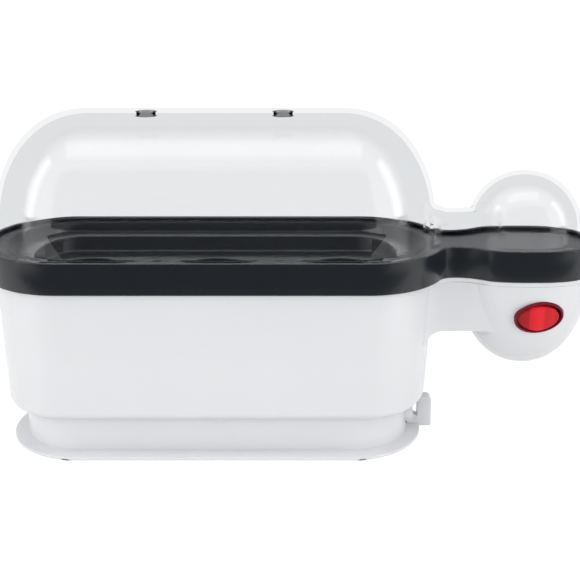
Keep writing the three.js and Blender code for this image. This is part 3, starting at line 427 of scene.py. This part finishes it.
# Base plate: a flat white flange under the core, on which the feet sit. Moulded with an eased
# edge, and screwed to the core from below through four sunk holes.
corners = [(side, end) for side in (-1, 1) for end in (-1, 1)]
boss_places = [(66 * side, 28 * end) for side, end in corners]
foot_places = [(63.5 * side, 39.3 * end) for side, end in corners]
flange, play = (92.3, 44.8, 60), 0.3
flange_edge = ((0.5, 0.3), (0.6, 0.1), (0.8, 0), (1.4, 0), (1.7, 0.2), (core_low, 0.6))
plate = oblong("base_plate_flange", walls(flange, flange_edge))
spigot_plan, spigot_high, spigot_wall = narrowed(core, thin_wall + play), 4.2, 1.8
spigot = oblong("spigot", walls(spigot_plan, ((core_low - 0.6, 0), (spigot_high, 0))))
spigot_inside = ((core_low, spigot_wall), (spigot_high + 0.8, spigot_wall))
spigot_hollow = oblong("spigot_hollow", walls(spigot_plan, spigot_inside))
combine(spigot, [spigot_hollow], "DIFFERENCE")
combine(plate, [spigot], "UNION")
sink = ((0, -1.5), (0.7, -1.3), (1.7, -1.3), (1.7, 0), (6, 0))
sunk = [turned("screw_sink", x, y, screw_radius, sink) for x, y in boss_places]
foot_radius, foot_high = 5, 1.1
seats = [turned("foot_seat", x, y, foot_radius + play, ((0, 0), (foot_high, 0))) for x, y in foot_places]
combine(plate, sunk + seats, "DIFFERENCE")
smooth(plate)
dress(plate, white_plastic, "base", "white_plastic", "base_plate")


# Feet: four small grey rubber pads pressed into the flange's seats, each a low disc with a
# rounded edge. They are numbered round the flange, as in the frame.
rubber = moulded("rubber", (0.3, 0.3, 0.31), (0.26, 0.26, 0.27), gloss=(0.6, 0.75),
                 grain=1800, depth=0.00003)
foot_edge = ((0, 1.1), (0.1, 0.5), (0.3, 0.15), (0.6, 0), (foot_high, 0))
for number, place in enumerate((0, 2, 3, 1), 1):
    foot = turned(f"foot_pad_{number}", *foot_places[place], foot_radius, foot_edge)
    smooth(foot)
    dress(foot, rubber, "base", "rubber", f"foot_{number}")


# Cord guide: an upright white tab on the end of the flange with a ramp back to the core, round
# which the cord is led. Moulded, with its edges eased.
def slab(name, points, depth):
    """A flat side outline of [x, z] drawn from the middle to the back."""
    return loft(name, [[(x, y, z) for x, z in points] for y in (0, depth)])


tab_near, tab_far, tab_low, tab_high, tab_round, tab_depth = 91.4, 97.7, 0.8, 14.7, 2, 7
upright = [(tab_near, tab_low), (tab_far, tab_low), (tab_far, tab_high - tab_round)]
upright += [(tab_far - tab_round + tab_round * cos(pi * k / 16),
             tab_high - tab_round + tab_round * sin(pi * k / 16)) for k in range(1, 9)]
upright += [(tab_near, tab_high)]
guide = slab("cord_guide_tab", upright, tab_depth)
ramp_near, ramp_far = 86.6, 94.55
ramp = [(ramp_near, core_low), (ramp_far, core_low), (ramp_far, 3.2), (ramp_near, 8.2)]
combine(guide, [slab("guide_ramp", ramp, tab_depth)], "UNION")
finish_with(guide, "BEVEL", width=0.45 * mm, segments=3, limit_method="ANGLE", angle_limit=radians(40))
smooth(guide, sharpest=40)
dress(guide, white_plastic, "base", "white_plastic", "cord_guide")


# Water pan: a drawn dish with a flat rim and a grey non-stick coating, four welded studs below.
# It hangs in the collar on a silicone seal.
pan_plan, pan_low, pan_round, pan_lean, sheet = (91.3, 41.4, 61), 58.4, 5, 3, 1.2
rim_plan, rim_low, rim_high = narrowed(collar, collar_ease), 78.6, 79.6


def dish(inset):
    """Levels of the pan's rounded floor, at an inset from its outside."""
    return [(pan_low + inset + pan_round * rise, *narrowed(pan_plan, pan_lean + inset + pan_round * lean))
            for rise, lean in quarter_round(8)]


rim = walls(rim_plan, ((rim_low, 0.4), (rim_low + 0.2, 0), (rim_high - 0.2, 0), (rim_high, 0.3)))
pan = oblong("pan_dish", dish(0) + [(rim_low, *pan_plan)] + rim)
mouth = walls(pan_plan, ((78.9, sheet), (rim_high - 0.2, 0.8), (81, -0.5)))
combine(pan, [oblong("pan_hollow", dish(sheet) + mouth)], "DIFFERENCE")
stud_x, stud_y, stud_radius, stud_low = 62, 31.4, 2, 47.5
stud_steps = ((stud_low, 0), (pan_low + sheet / 2, 0))
studs = [turned("pan_stud", stud_x * side, stud_y * end, stud_radius, stud_steps, 24)
         for side, end in corners]
combine(pan, studs, "UNION")
smooth(pan)


def metal(name, colour, gloss, grain):
    """Metal with a brushed or cast skin: gloss that drifts, and a fine relief."""
    material = moulded(name, colour, tuple(0.86 * part for part in colour), gloss, grain, depth=0.00001)
    material.node_tree.nodes["Principled BSDF"].inputs["Metallic"].default_value = 1
    return material


pan_coating = moulded("pan_coating", (0.26, 0.27, 0.28), (0.21, 0.22, 0.225), gloss=(0.32, 0.48),
                      grain=900, depth=0.00003)
pan_coating.node_tree.nodes["Principled BSDF"].inputs["Metallic"].default_value = 0.7
dress(pan, pan_coating, "base", "pan_coating", "heating_pan")

seal = oblong("pan_seal_ring", walls(rim_plan, ((collar_high, 0), (rim_low - 0.1, 0))))
seal_hollow = oblong("seal_hollow", walls(rim_plan, ((collar_high - 0.5, 1.6), (rim_low + 0.4, 1.6))))
combine(seal, [seal_hollow], "DIFFERENCE")
smooth(seal)
silicone = moulded("silicone", (0.48, 0.46, 0.42), (0.44, 0.42, 0.38), gloss=(0.5, 0.6),
                   grain=1500, depth=0.00002)
dress(seal, silicone, "base", "silicone", "pan_seal")


# Rocker switch: an oval red bezel pressed into the pod, and a translucent red rocker with a
# ridge across its middle, turned to its off side. Both moulded in clear red plastic.
rim_round = ((0.8, -0.3), (0.8, -1.1), (0.7, -1.4), (0.5, -1.6), (0.2, -1.7), (-0.1, -1.6), (-0.3, -1.35),
             (-0.4, -0.9), (-0.4, 0.5))
bezel = oval("switch_bezel_rim", rim_round)
combine(bezel, [oval("bezel_neck", ((-0.1, -0.6), (-0.1, 6)))], "UNION")
combine(bezel, [oval("bezel_window", ((-0.4, -1.2), (-0.4, 7)))], "DIFFERENCE")
smooth(bezel, sharpest=40)

key_pivot, off_turn = Matrix.Translation((0, 3.4, 0)), Matrix.Rotation(radians(-6), 4, "Z")
key_place = switch_place @ key_pivot @ off_turn @ key_pivot.inverted()
key_half_length, key_half_height = 9.45, 5.6
key_root, key_face, ridge_slope, ridge_round = 5, -2.9, tan(radians(9)), 0.35


def key_ring(inset, share, scale=1.0):
    """A ring of the rocker from its root (share 0) to its ridged face (share 1)."""
    ring = []
    for k in range(oval_points):
        turn = 2 * pi * k / oval_points
        x = (key_half_length - inset) * scale * cos(turn)
        z = (key_half_height - inset) * scale * sin(turn)
        face = key_face + sqrt(x * x + ridge_round) * ridge_slope
        ring.append(tuple(key_place @ Vector((x, key_root + (face - key_root) * share, z))))
    return ring


face_inset, face_rings = 0.35, 12
rings = [key_ring(0, 0), key_ring(0, 0.93), key_ring(0.1, 0.965), key_ring(face_inset, 0.99)]
rings += [key_ring(face_inset, 1, 1 - k / face_rings) for k in range(1, face_rings)]
key = loft("rocker_key", rings)
smooth(key, sharpest=50)


def clear_red(name, colour, shade, gloss):
    """Red plastic that lets some light through, so that its facets differ in depth of colour."""
    material = moulded(name, colour, shade, gloss, grain=1400, depth=0.000008)
    skin = material.node_tree.nodes["Principled BSDF"]
    skin.inputs["Specular IOR Level"].default_value = 0.22
    skin.inputs["Subsurface Weight"].default_value = 0.25
    skin.inputs["Subsurface Radius"].default_value = (1, 0.08, 0.06)
    skin.inputs["Subsurface Scale"].default_value = 0.002
    return material


# The red rocker carries painted highlight and painted shade: bands along its length, lighter over
# the middle and darker towards the ends, for how its facets catch the light.
red_plastic = clear_red("red_plastic", (0.88, 0.018, 0.03), (0.78, 0.015, 0.026), (0.1, 0.16))
red_nodes, red_links = red_plastic.node_tree.nodes, red_plastic.node_tree.links
key_axis = switch_place.to_3x3() @ Vector((1, 0, 0))
key_middle = key_axis.dot(Vector(switch_middle) * mm + Vector((middle, 0, 0)))
half_span = 9.6 * mm
along = red_nodes.new("ShaderNodeVectorMath")
along.operation = "DOT_PRODUCT"
along.inputs[1].default_value = key_axis
red_links.new(red_nodes["Texture Coordinate"].outputs["Object"], along.inputs[0])
spread = red_nodes.new("ShaderNodeMapRange")
spread.inputs["From Min"].default_value = key_middle - half_span
spread.inputs["From Max"].default_value = key_middle + half_span
red_links.new(along.outputs["Value"], spread.inputs["Value"])
# Painted light: the ramp's bands stand for highlight and shade on the rocker's facets.
painted_light_bands = red_nodes.new("ShaderNodeValToRGB")
ramp_ends = painted_light_bands.color_ramp.elements
ramp_ends[0].color = (0.42, 0.42, 0.42, 1)
ramp_ends[1].color = (0.5, 0.5, 0.5, 1)
for share, light in ((0.24, 0.5), (0.27, 0.78), (0.44, 1.0), (0.56, 0.94), (0.64, 0.7), (0.8, 0.82)):
    painted_light_bands.color_ramp.elements.new(share).color = (light, light, light, 1)
red_links.new(spread.outputs["Result"], painted_light_bands.inputs["Fac"])
painted_light_mix = red_nodes.new("ShaderNodeMix")
painted_light_mix.data_type = "RGBA"
painted_light_mix.blend_type = "MULTIPLY"
painted_light_mix.inputs["Factor"].default_value = 1
red_links.new(red_nodes["Mix"].outputs["Result"], painted_light_mix.inputs["A"])
red_links.new(painted_light_bands.outputs["Color"], painted_light_mix.inputs["B"])
red_links.new(painted_light_mix.outputs["Result"], red_nodes["Principled BSDF"].inputs["Base Color"])
dark_red = clear_red("dark_red", (0.19, 0.006, 0.02), (0.15, 0.005, 0.016), (0.14, 0.2))
dress(bezel, dark_red, "base", "red_plastic", "switch_bezel")
dress(key, red_plastic, "rocker", "red_plastic", "rocker")


# Egg tray: one dark moulding, a band round base and pod, a sloping shelf, and a well with three
# egg holes and two steam holes. It lies loose on the base, and carries the lid in its rebate.
band_low, band_high, ledge = body_high, 89, 87.48
tray_low, shelf_under, deck_under = 73, 80.8, 85.3
tray_round = quarter_round(3)


def eased(low, high, edge):
    """Heights and insets of an upright wall whose lower and upper edges are rounded."""
    lower = [(low + edge * rise, edge * inset) for rise, inset in tray_round]
    return lower + [(high - edge * rise, edge * inset) for rise, inset in reversed(tray_round)]


band_edges = eased(band_low, band_high, 0.45)
tray = oblong("egg_tray_band", walls(band, band_edges))
combine(tray, [arm("tray_arm", band_edges)], "UNION")
arm_under = arm("arm_under", ((tray_low, thin_wall), (deck_under, thin_wall)))
beside_arm = oblong("beside_arm", walls(band, ((60, 0), (95, 0))))
combine(arm_under, [beside_arm], "DIFFERENCE")
under = oblong("tray_under", walls(band, ((tray_low, thin_wall), (shelf_under, thin_wall))))
combine(tray, [under, arm_under], "DIFFERENCE")
well_wall = walls((83.2, 34.2, 62), ((73.3, 0.8), (73.5, 0.3), (73.9, 0), (82.2, 0)))
combine(tray, [oblong("well_wall", well_wall)], "UNION")

well_floor, well_corner, well_plan = 75.5, 1.5, (80.2, 31.2, 62)
shelf_low, shelf_lip, mouth_plan = 83, 0.7, (80.6, 31.6, 62)
floor_round = [(well_floor + well_corner * rise, well_corner * inset) for rise, inset in tray_round]
lip_round = [(shelf_low - shelf_lip * rise, -shelf_lip * inset) for rise, inset in reversed(tray_round)]
shelf = [(shelf_low, 88.2, 40.6, 62), (83.3, 89.0, 41.3, 62), (87.2, 93.1, 42.4, 62), (ledge, 93.6, 42.7, 62)]
rebate = ((ledge, 2.4), (band_high - 0.4, 2.4), (band_high, 2.0), (band_high + 1, 1.0))
well = walls(well_plan, floor_round) + walls(mouth_plan, lip_round) + shelf + walls(band, rebate)
arm_rebate = arm("arm_rebate", rebate)

hole_edge = ((70, 0), (well_floor - 0.8, 0), (well_floor - 0.4, -0.11), (well_floor - 0.2, -0.24),
             (well_floor, -0.8), (well_floor + 0.3, -1.2))
egg_pitch, egg_radius, steam_radius = 56, 17.5, 3.5
holes = [turned("egg_hole", egg_pitch * place, 0, egg_radius, hole_edge, 96) for place in (-1, 0, 1)]
holes += [turned("steam_hole", egg_pitch * place, 0, steam_radius, hole_edge, 96) for place in (-0.5, 0.5)]
combine(tray, [oblong("tray_well", well), arm_rebate] + holes, "DIFFERENCE")
smooth(tray)
dark_plastic = moulded("dark_plastic", (0.014, 0.017, 0.021), (0.011, 0.014, 0.018), gloss=(0.22, 0.28),
                       grain=2200, depth=0.0000015)
dress(tray, dark_plastic, "tray", "dark_plastic", "egg_tray")


# Lid: one clear moulding, a long dome with two vents, a low roof over the bridge and a small
# dome over the pod, all on one flat rim that lies in the tray's rebate.
lid_low, lid_wall, rim_inset = 87.5, 2, 2.7
dome_plan, dome_low, dome_rise, dome_lean, dome_draft = (98.4, 45.1, 57), 97, 49, 36, 0.8
dome_end = narrowed(dome_plan, dome_draft)
small_dome, small_dome_low, tip_share = (25.2, 24.3, 2.2), 94.4, 0.03
roof_high, roof_inset, roof_round, root_radius = 101, 4.1, 5, 6
dome_steps, small_dome_steps, root_steps = 28, 24, 10


def dome(name, inset, low):
    """The long dome: a slightly drafted wall that is rounded over into the ridge."""
    outline = narrowed(dome_plan, inset)
    levels = [(low, *outline)]
    for step in range(dome_steps + 1):
        turn = pi / 2 * step / dome_steps
        lean = dome_draft + dome_lean * (1 - cos(turn))
        levels.append((dome_low + (dome_rise - inset) * sin(turn), *narrowed(outline, lean)))
    return oblong(name, levels)


def pod_dome(name, inset, low):
    """The small dome over the pod, round from its wall up to its tip."""
    half_width, half_depth, squareness = narrowed(small_dome, inset)
    rings = [pod_ring((half_width, half_depth, squareness), low)]
    shares = [(cos(pi / 2 * step / small_dome_steps), sin(pi / 2 * step / small_dome_steps))
              for step in range(small_dome_steps)]
    for across, up in shares + [(tip_share, 1)]:
        rings.append(pod_ring((half_width * across, half_depth * across, squareness),
                              small_dome_low + half_width * up))
    return loft(name, rings)


def roof(name, inset, low, high, edge):
    """The bridge's body between the two domes, with its upper edges rounded."""
    end, pod = narrowed(dome_end, inset), narrowed(small_dome, inset)
    rings = [bridge_ring(roof_inset + inset, end, pod, low)]
    for rise, lean in reversed(quarter_round(6)):
        rings.append(bridge_ring(roof_inset + inset + edge * lean, end, pod, high - edge * rise))
    return loft(name, rings)


def lid_root(name, inset):
    """Round that leads the dome's end over into the roof, at an inset from the lid's outside."""
    radius, levels = root_radius + inset, []
    for step in range(root_steps + 1):
        turn = pi / 2 * step / root_steps
        z = roof_high + root_radius - radius * sin(turn)
        climb = (z - dome_low) / (dome_rise - inset)
        out = root_radius - radius * cos(turn) - dome_lean * (1 - sqrt(1 - climb * climb))
        levels.append((z, *narrowed(dome_end, -out)))
    levels.append((roof_high - 3, *levels[-1][1:]))
    levels.reverse()
    return combine(oblong(name, levels), [roof(name + "_plan", inset, 90, 140, 0.5)], "INTERSECT")


rim_top, rim_ease = 89.7, 0.3
rim_edges = [(z, rim_inset + inset) for z, inset in eased(lid_low, rim_top, rim_ease)]
lid = oblong("lid_shell", walls(band, rim_edges))
combine(lid, [arm("lid_rim_arm", rim_edges), dome("dome_outside", 0, lid_low),
              roof("roof_outside", 0, lid_low, roof_high, roof_round), lid_root("lid_root", 0),
              pod_dome("pod_dome_outside", 0, lid_low)], "UNION")
vent_x, vent_radius, lid_high = 30, 4.2, dome_low + dome_rise
vent_edge = ((100, 0), (lid_high - 0.6, 0), (lid_high - 0.2, -0.2), (lid_high + 0.1, -0.8),
             (lid_high + 0.6, -1.2))
vents = [turned("vent", side * vent_x, 0, vent_radius, vent_edge) for side in (-1, 1)]
hollow_low = lid_low - 2.5
hollows = [dome("dome_hollow", lid_wall, hollow_low), pod_dome("pod_dome_hollow", lid_wall, hollow_low),
           roof("roof_hollow", lid_wall, hollow_low, roof_high - lid_wall, roof_round - lid_wall),
           lid_root("root_hollow", lid_wall)]
combine(lid, hollows + vents, "DIFFERENCE")
smooth(lid)


def give(tree, socket, value):
    """Links another node's output to a socket, or sets the socket's own value."""
    if isinstance(value, bpy.types.NodeSocket):
        tree.links.new(value, socket)
    else:
        socket.default_value = value


def maths(tree, operation, first, second):
    """Two numbers or outputs worked into one."""
    node = tree.nodes.new("ShaderNodeMath")
    node.operation = operation
    give(tree, node.inputs[0], first)
    give(tree, node.inputs[1], second)
    return node.outputs[0]


def share_of(tree, value, nothing, whole, course="LINEAR"):
    """A share that grows from 0 to 1 while a value goes from nothing to whole."""
    node = tree.nodes.new("ShaderNodeMapRange")
    node.interpolation_type = course
    node.inputs["From Min"].default_value = nothing
    node.inputs["From Max"].default_value = whole
    tree.links.new(value, node.inputs["Value"])
    return node.outputs["Result"]


def mix_shaders(tree, share, first, second):
    """Two shaders, mixed by a share of the second."""
    node = tree.nodes.new("ShaderNodeMixShader")
    give(tree, node.inputs[0], share)
    tree.links.new(first, node.inputs[1])
    tree.links.new(second, node.inputs[2])
    return node.outputs["Shader"]


def passing_light(tree, colour):
    """A shader that lets light straight through, tinted by a colour."""
    node = tree.nodes.new("ShaderNodeBsdfTransparent")
    give(tree, node.inputs["Color"], colour)
    return node.outputs["BSDF"]


# The clear plastic is painted nearly black at the rims of its vents, a painted shade for the dark
# edges of the holes. Where it is seen at a flat angle, and over the bridge, light passes straight
# through it, as it does for shadows and after many bounces.
clear_plastic = moulded("clear_plastic", (0.918, 0.925, 0.93), (0.908, 0.915, 0.922), gloss=(0.0, 0.012),
                        grain=400, depth=0.0000005)
clear = clear_plastic.node_tree
clear_skin = clear.nodes["Principled BSDF"]
clear_skin.inputs["Transmission Weight"].default_value = 1
clear_skin.inputs["IOR"].default_value = 1.29
clear_skin.inputs["Coat Weight"].default_value = 0.5
clear_skin.inputs["Coat IOR"].default_value = 1.5
clear_skin.inputs["Coat Roughness"].default_value = 0.02

place = clear.nodes["Texture Coordinate"].outputs["Object"]
on_plan = clear.nodes.new("ShaderNodeVectorMath")
on_plan.operation = "MULTIPLY"
on_plan.inputs[1].default_value = (1, 1, 0)
clear.links.new(place, on_plan.inputs[0])
vent_distances = []
for side in (-1, 1):
    from_vent = clear.nodes.new("ShaderNodeVectorMath")
    from_vent.operation = "DISTANCE"
    from_vent.inputs[1].default_value = (middle + side * vent_x * mm, 0, 0)
    clear.links.new(on_plan.outputs["Vector"], from_vent.inputs[0])
    vent_distances.append(from_vent.outputs["Value"])
nearer_vent = maths(clear, "MINIMUM", *vent_distances)
# Painted shade: the share of the dark ring round each vent.
vent_shade_share = share_of(clear, nearer_vent, (vent_radius + 0.8) * mm, (vent_radius + 0.1) * mm)


def painted_vent_shade(colour):
    """A colour or a colour output that is painted nearly black at the rims of the vents, as painted shade."""
    node = clear.nodes.new("ShaderNodeMix")
    node.data_type = "RGBA"
    give(clear, node.inputs["A"], colour)
    node.inputs["B"].default_value = (0.08, 0.08, 0.085, 1)
    clear.links.new(vent_shade_share, node.inputs["Factor"])
    return node.outputs["Result"]


thin_edge = passing_light(clear, painted_vent_shade((0.906, 0.911, 0.916, 1)))
clear.links.new(painted_vent_shade(clear.nodes["Mix"].outputs["Result"]), clear_skin.inputs["Base Color"])

turned_away = clear.nodes.new("ShaderNodeLayerWeight").outputs["Facing"]
grazing = share_of(clear, turned_away, 0.2, 0.38, "SMOOTHSTEP")
parts = clear.nodes.new("ShaderNodeSeparateXYZ")
clear.links.new(place, parts.inputs[0])
along_x, height = parts.outputs["X"], parts.outputs["Z"]
past_dome = share_of(clear, along_x, middle + 97 * mm, middle + 100 * mm)
before_pod = share_of(clear, along_x, middle + 127 * mm, middle + 123 * mm)
below_roof = share_of(clear, height, (roof_high + 5) * mm, (roof_high + 2) * mm)
in_bridge = maths(clear, "MULTIPLY", maths(clear, "MULTIPLY", past_dome, before_pod), below_roof)
plain_view = maths(clear, "MAXIMUM", grazing, in_bridge)
skin_or_edge = mix_shaders(clear, plain_view, clear_skin.outputs["BSDF"], thin_edge)

ray = clear.nodes.new("ShaderNodeLightPath")
most_bounces = 5.5
deep = maths(clear, "GREATER_THAN", ray.outputs["Ray Depth"], most_bounces)
inner = mix_shaders(clear, deep, skin_or_edge, passing_light(clear, (0.9, 0.91, 0.92, 1)))
to_shadow = passing_light(clear, (0.94, 0.95, 0.96, 1))
shadowed = mix_shaders(clear, ray.outputs["Is Shadow Ray"], inner, to_shadow)
clear.links.new(shadowed, clear.nodes["Material Output"].inputs["Surface"])
dress(lid, clear_plastic, "lid", "clear_plastic", "lid")


# Pieces that the housing hides, kept as the CAD made them: heater, controls, terminal block,
# wires, screws and the backs of the switch, each in the material of its finish.
steel = metal("steel", (0.56, 0.57, 0.58), gloss=(0.24, 0.38), grain=1200)
brass = metal("brass", (0.62, 0.45, 0.16), gloss=(0.28, 0.4), grain=1200)
ceramic = moulded("ceramic", (0.76, 0.72, 0.62), (0.7, 0.66, 0.56), gloss=(0.55, 0.65),
                  grain=1200, depth=0.00003)
black_plastic = moulded("black_plastic", (0.012, 0.012, 0.013), (0.009, 0.009, 0.01), gloss=(0.42, 0.55),
                        grain=2000, depth=0.00002)
lamp_glass = moulded("lamp_glass", (0.9, 0.42, 0.16), (0.85, 0.36, 0.12), gloss=(0.08, 0.14),
                     grain=600, depth=0.00001)


def sleeve(name, colour, shade):
    """The soft plastic round a wire."""
    return moulded(name, colour, shade, gloss=(0.45, 0.58), grain=1600, depth=0.00002)


red_wire = sleeve("red_wire", (0.4, 0.03, 0.025), (0.34, 0.024, 0.02))
blue_wire = sleeve("blue_wire", (0.03, 0.11, 0.34), (0.024, 0.09, 0.29))
white_wire = sleeve("white_wire", (0.68, 0.66, 0.61), (0.62, 0.6, 0.55))
kept = {
    "heating_element": steel, "thermostat": steel, "fuse_clip": steel, "thermal_fuse": ceramic,
    "terminal_block": ceramic, "cord_clamp": black_plastic, "cord_bush": white_plastic,
    "switch_body": black_plastic, "switch_lamp": lamp_glass,
    "switch_wire_1": red_wire, "switch_wire_2": blue_wire, "switch_wire_3": white_wire,
    "heater_wire_1": blue_wire, "heater_wire_2": white_wire, "heater_wire_3": white_wire,
    "heater_wire_4": red_wire,
}
numbered = (("switch_blade", 3, brass), ("terminal_screw", 3, brass), ("base_screw", 4, steel),
            ("cover_screw", 2, steel), ("pan_nut", 4, steel), ("cord_clamp_screw", 2, steel))
for kind, count, material in numbered:
    kept.update({f"{kind}_{k}": material for k in range(1, count + 1)})
for name, material in kept.items():
    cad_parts[name].material_slots[0].material = material


# Studio: a white floor that keeps the shadow, a pale even surround, a soft light overhead and a
# tall strip at each side for the lid to mirror, and five fill lamps that no reflection shows.
def looked_at(tree, glossy_share):
    """1 for rays from the camera or through clear pieces, and a share of 1 for mirrored rays."""
    ray = tree.nodes.new("ShaderNodeLightPath")
    mirrored = maths(tree, "MULTIPLY", ray.outputs["Is Glossy Ray"], glossy_share)
    seen = maths(tree, "MAXIMUM", ray.outputs["Is Camera Ray"], mirrored)
    return maths(tree, "MAXIMUM", seen, ray.outputs["Is Transmission Ray"])


def matt_paint(name, tone):
    """A grey or white paint without gloss."""
    paint = bpy.data.materials.new(name)
    paint.use_nodes = True
    paint.node_tree.nodes["Principled BSDF"].inputs["Base Color"].default_value = (tone, tone, tone, 1)
    paint.node_tree.nodes["Principled BSDF"].inputs["Roughness"].default_value = 0.9
    return paint


bpy.ops.object.select_all(action="DESELECT")
bpy.ops.mesh.primitive_plane_add(size=16, location=(0, 0, 0))
floor = bpy.context.object
floor.name = "floor"
floor_paint = matt_paint("floor_paint", 0.85)
ground = floor_paint.node_tree
ground_skin = ground.nodes["Principled BSDF"]
ground_skin.inputs["Specular IOR Level"].default_value = 0
glow = ground.nodes.new("ShaderNodeEmission")
glow.inputs["Strength"].default_value = 1.24
shadow_share = 0.25
pale = mix_shaders(ground, shadow_share, glow.outputs[0], ground_skin.outputs[0])
floor_look = mix_shaders(ground, looked_at(ground, 1.0), ground_skin.outputs[0], pale)
ground.links.new(floor_look, ground.nodes["Material Output"].inputs["Surface"])
floor.data.materials.append(floor_paint)

world = bpy.data.worlds.new("studio")
bpy.context.scene.world = world
world.use_nodes = True
air = world.node_tree
strength = air.nodes.new("ShaderNodeMapRange")
strength.inputs["To Min"].default_value = 0.48
strength.inputs["To Max"].default_value = 1.0
air.links.new(looked_at(air, 0.5), strength.inputs["Value"])
air.links.new(strength.outputs["Result"], air.nodes["Background"].inputs["Strength"])
air.nodes["Background"].inputs["Color"].default_value = (1, 1, 1, 1)


def soft_light(name, place, aim, width, depth, power):
    """A rectangular lamp that faces a point of the object."""
    lamp = bpy.data.lights.new(name, "AREA")
    lamp.shape = "RECTANGLE"
    lamp.size, lamp.size_y = width, depth
    lamp.energy = power
    holder = bpy.data.objects.new(name, lamp)
    bpy.context.scene.collection.objects.link(holder)
    holder.location = place
    holder.rotation_euler = (Vector(aim) - Vector(place)).to_track_quat("-Z", "Y").to_euler()
    return holder


soft_light("light_overhead", (-0.03, -0.34, 1.35), (-0.03, -0.3, 0), 1.1, 0.5, 1.8)
soft_light("strip_left", (-1.2, -0.33, 0.65), (0, 0, 0.3), 0.3, 1.1, 2.3)
soft_light("strip_right", (1.2, -0.33, 0.65), (0, 0, 0.3), 0.3, 1.1, 2.3)
left = soft_light("light_left", (-1.25, -0.33, 0.65), (0, 0, 0.3), 0.9, 1.3, 3.2)
right = soft_light("light_right", (1.25, -0.33, 0.65), (0, 0, 0.3), 0.9, 1.3, 3.2)
front = soft_light("light_front", (0, -1.15, 1.3), (0, 0, 0.06), 1.8, 1.0, 1.1)
low = soft_light("light_low", (0, -0.95, 0.4), (0, 0, 0.02), 1.6, 0.3, 3.3)
back = soft_light("light_back", (0, 1.3, 0.9), (0, 0, 0.05), 1.6, 0.8, 2.4)
for lamp in (left, right, front, low, back):
    lamp.visible_glossy = lamp.visible_transmission = False


# Black flags under and behind the camera, which only reflections see: they keep the dark band,
# the tray and the clear lid deep, as in a photographer's studio.
flag_paint = matt_paint("flag_paint", 0.05)
flag_tree = flag_paint.node_tree
mirrored = flag_tree.nodes.new("ShaderNodeLightPath").outputs["Glossy Depth"]
flag_look = mix_shaders(flag_tree, mirrored, passing_light(flag_tree, (1, 1, 1, 1)),
                        flag_tree.nodes["Principled BSDF"].outputs[0])
flag_tree.links.new(flag_look, flag_tree.nodes["Material Output"].inputs["Surface"])


def flag(name, place, turn, width, depth):
    """A flat card that is left out for the camera, for shadows and for soft light."""
    bpy.ops.object.select_all(action="DESELECT")
    bpy.ops.mesh.primitive_plane_add(size=1, location=place, rotation=turn)
    card = bpy.context.object
    card.name = name
    card.scale = (width, depth, 1)
    card.data.materials.append(flag_paint)
    card.visible_camera = card.visible_diffuse = card.visible_shadow = False


flag("flag_low", (0, -0.84, 0.004), (0, 0, 0), 1.15, 1.38)
flag("flag_front", (0, -1.7, 1.0), (radians(90), 0, 0), 3.0, 2.4)


# Camera: in front and a little above the lid, with the place, tilt and lens that the outline in
# the photograph asks for.
view = bpy.data.cameras.new("camera")
view.lens = 99.745
view.sensor_width = 36
camera = bpy.data.objects.new("camera", view)
bpy.context.scene.collection.objects.link(camera)
camera.location = (0.0008, -0.700, 0.2475)
camera.rotation_euler = (radians(75.4), 0, 0)
bpy.context.scene.camera = camera
bpy.context.scene.view_settings.view_transform = "Standard"
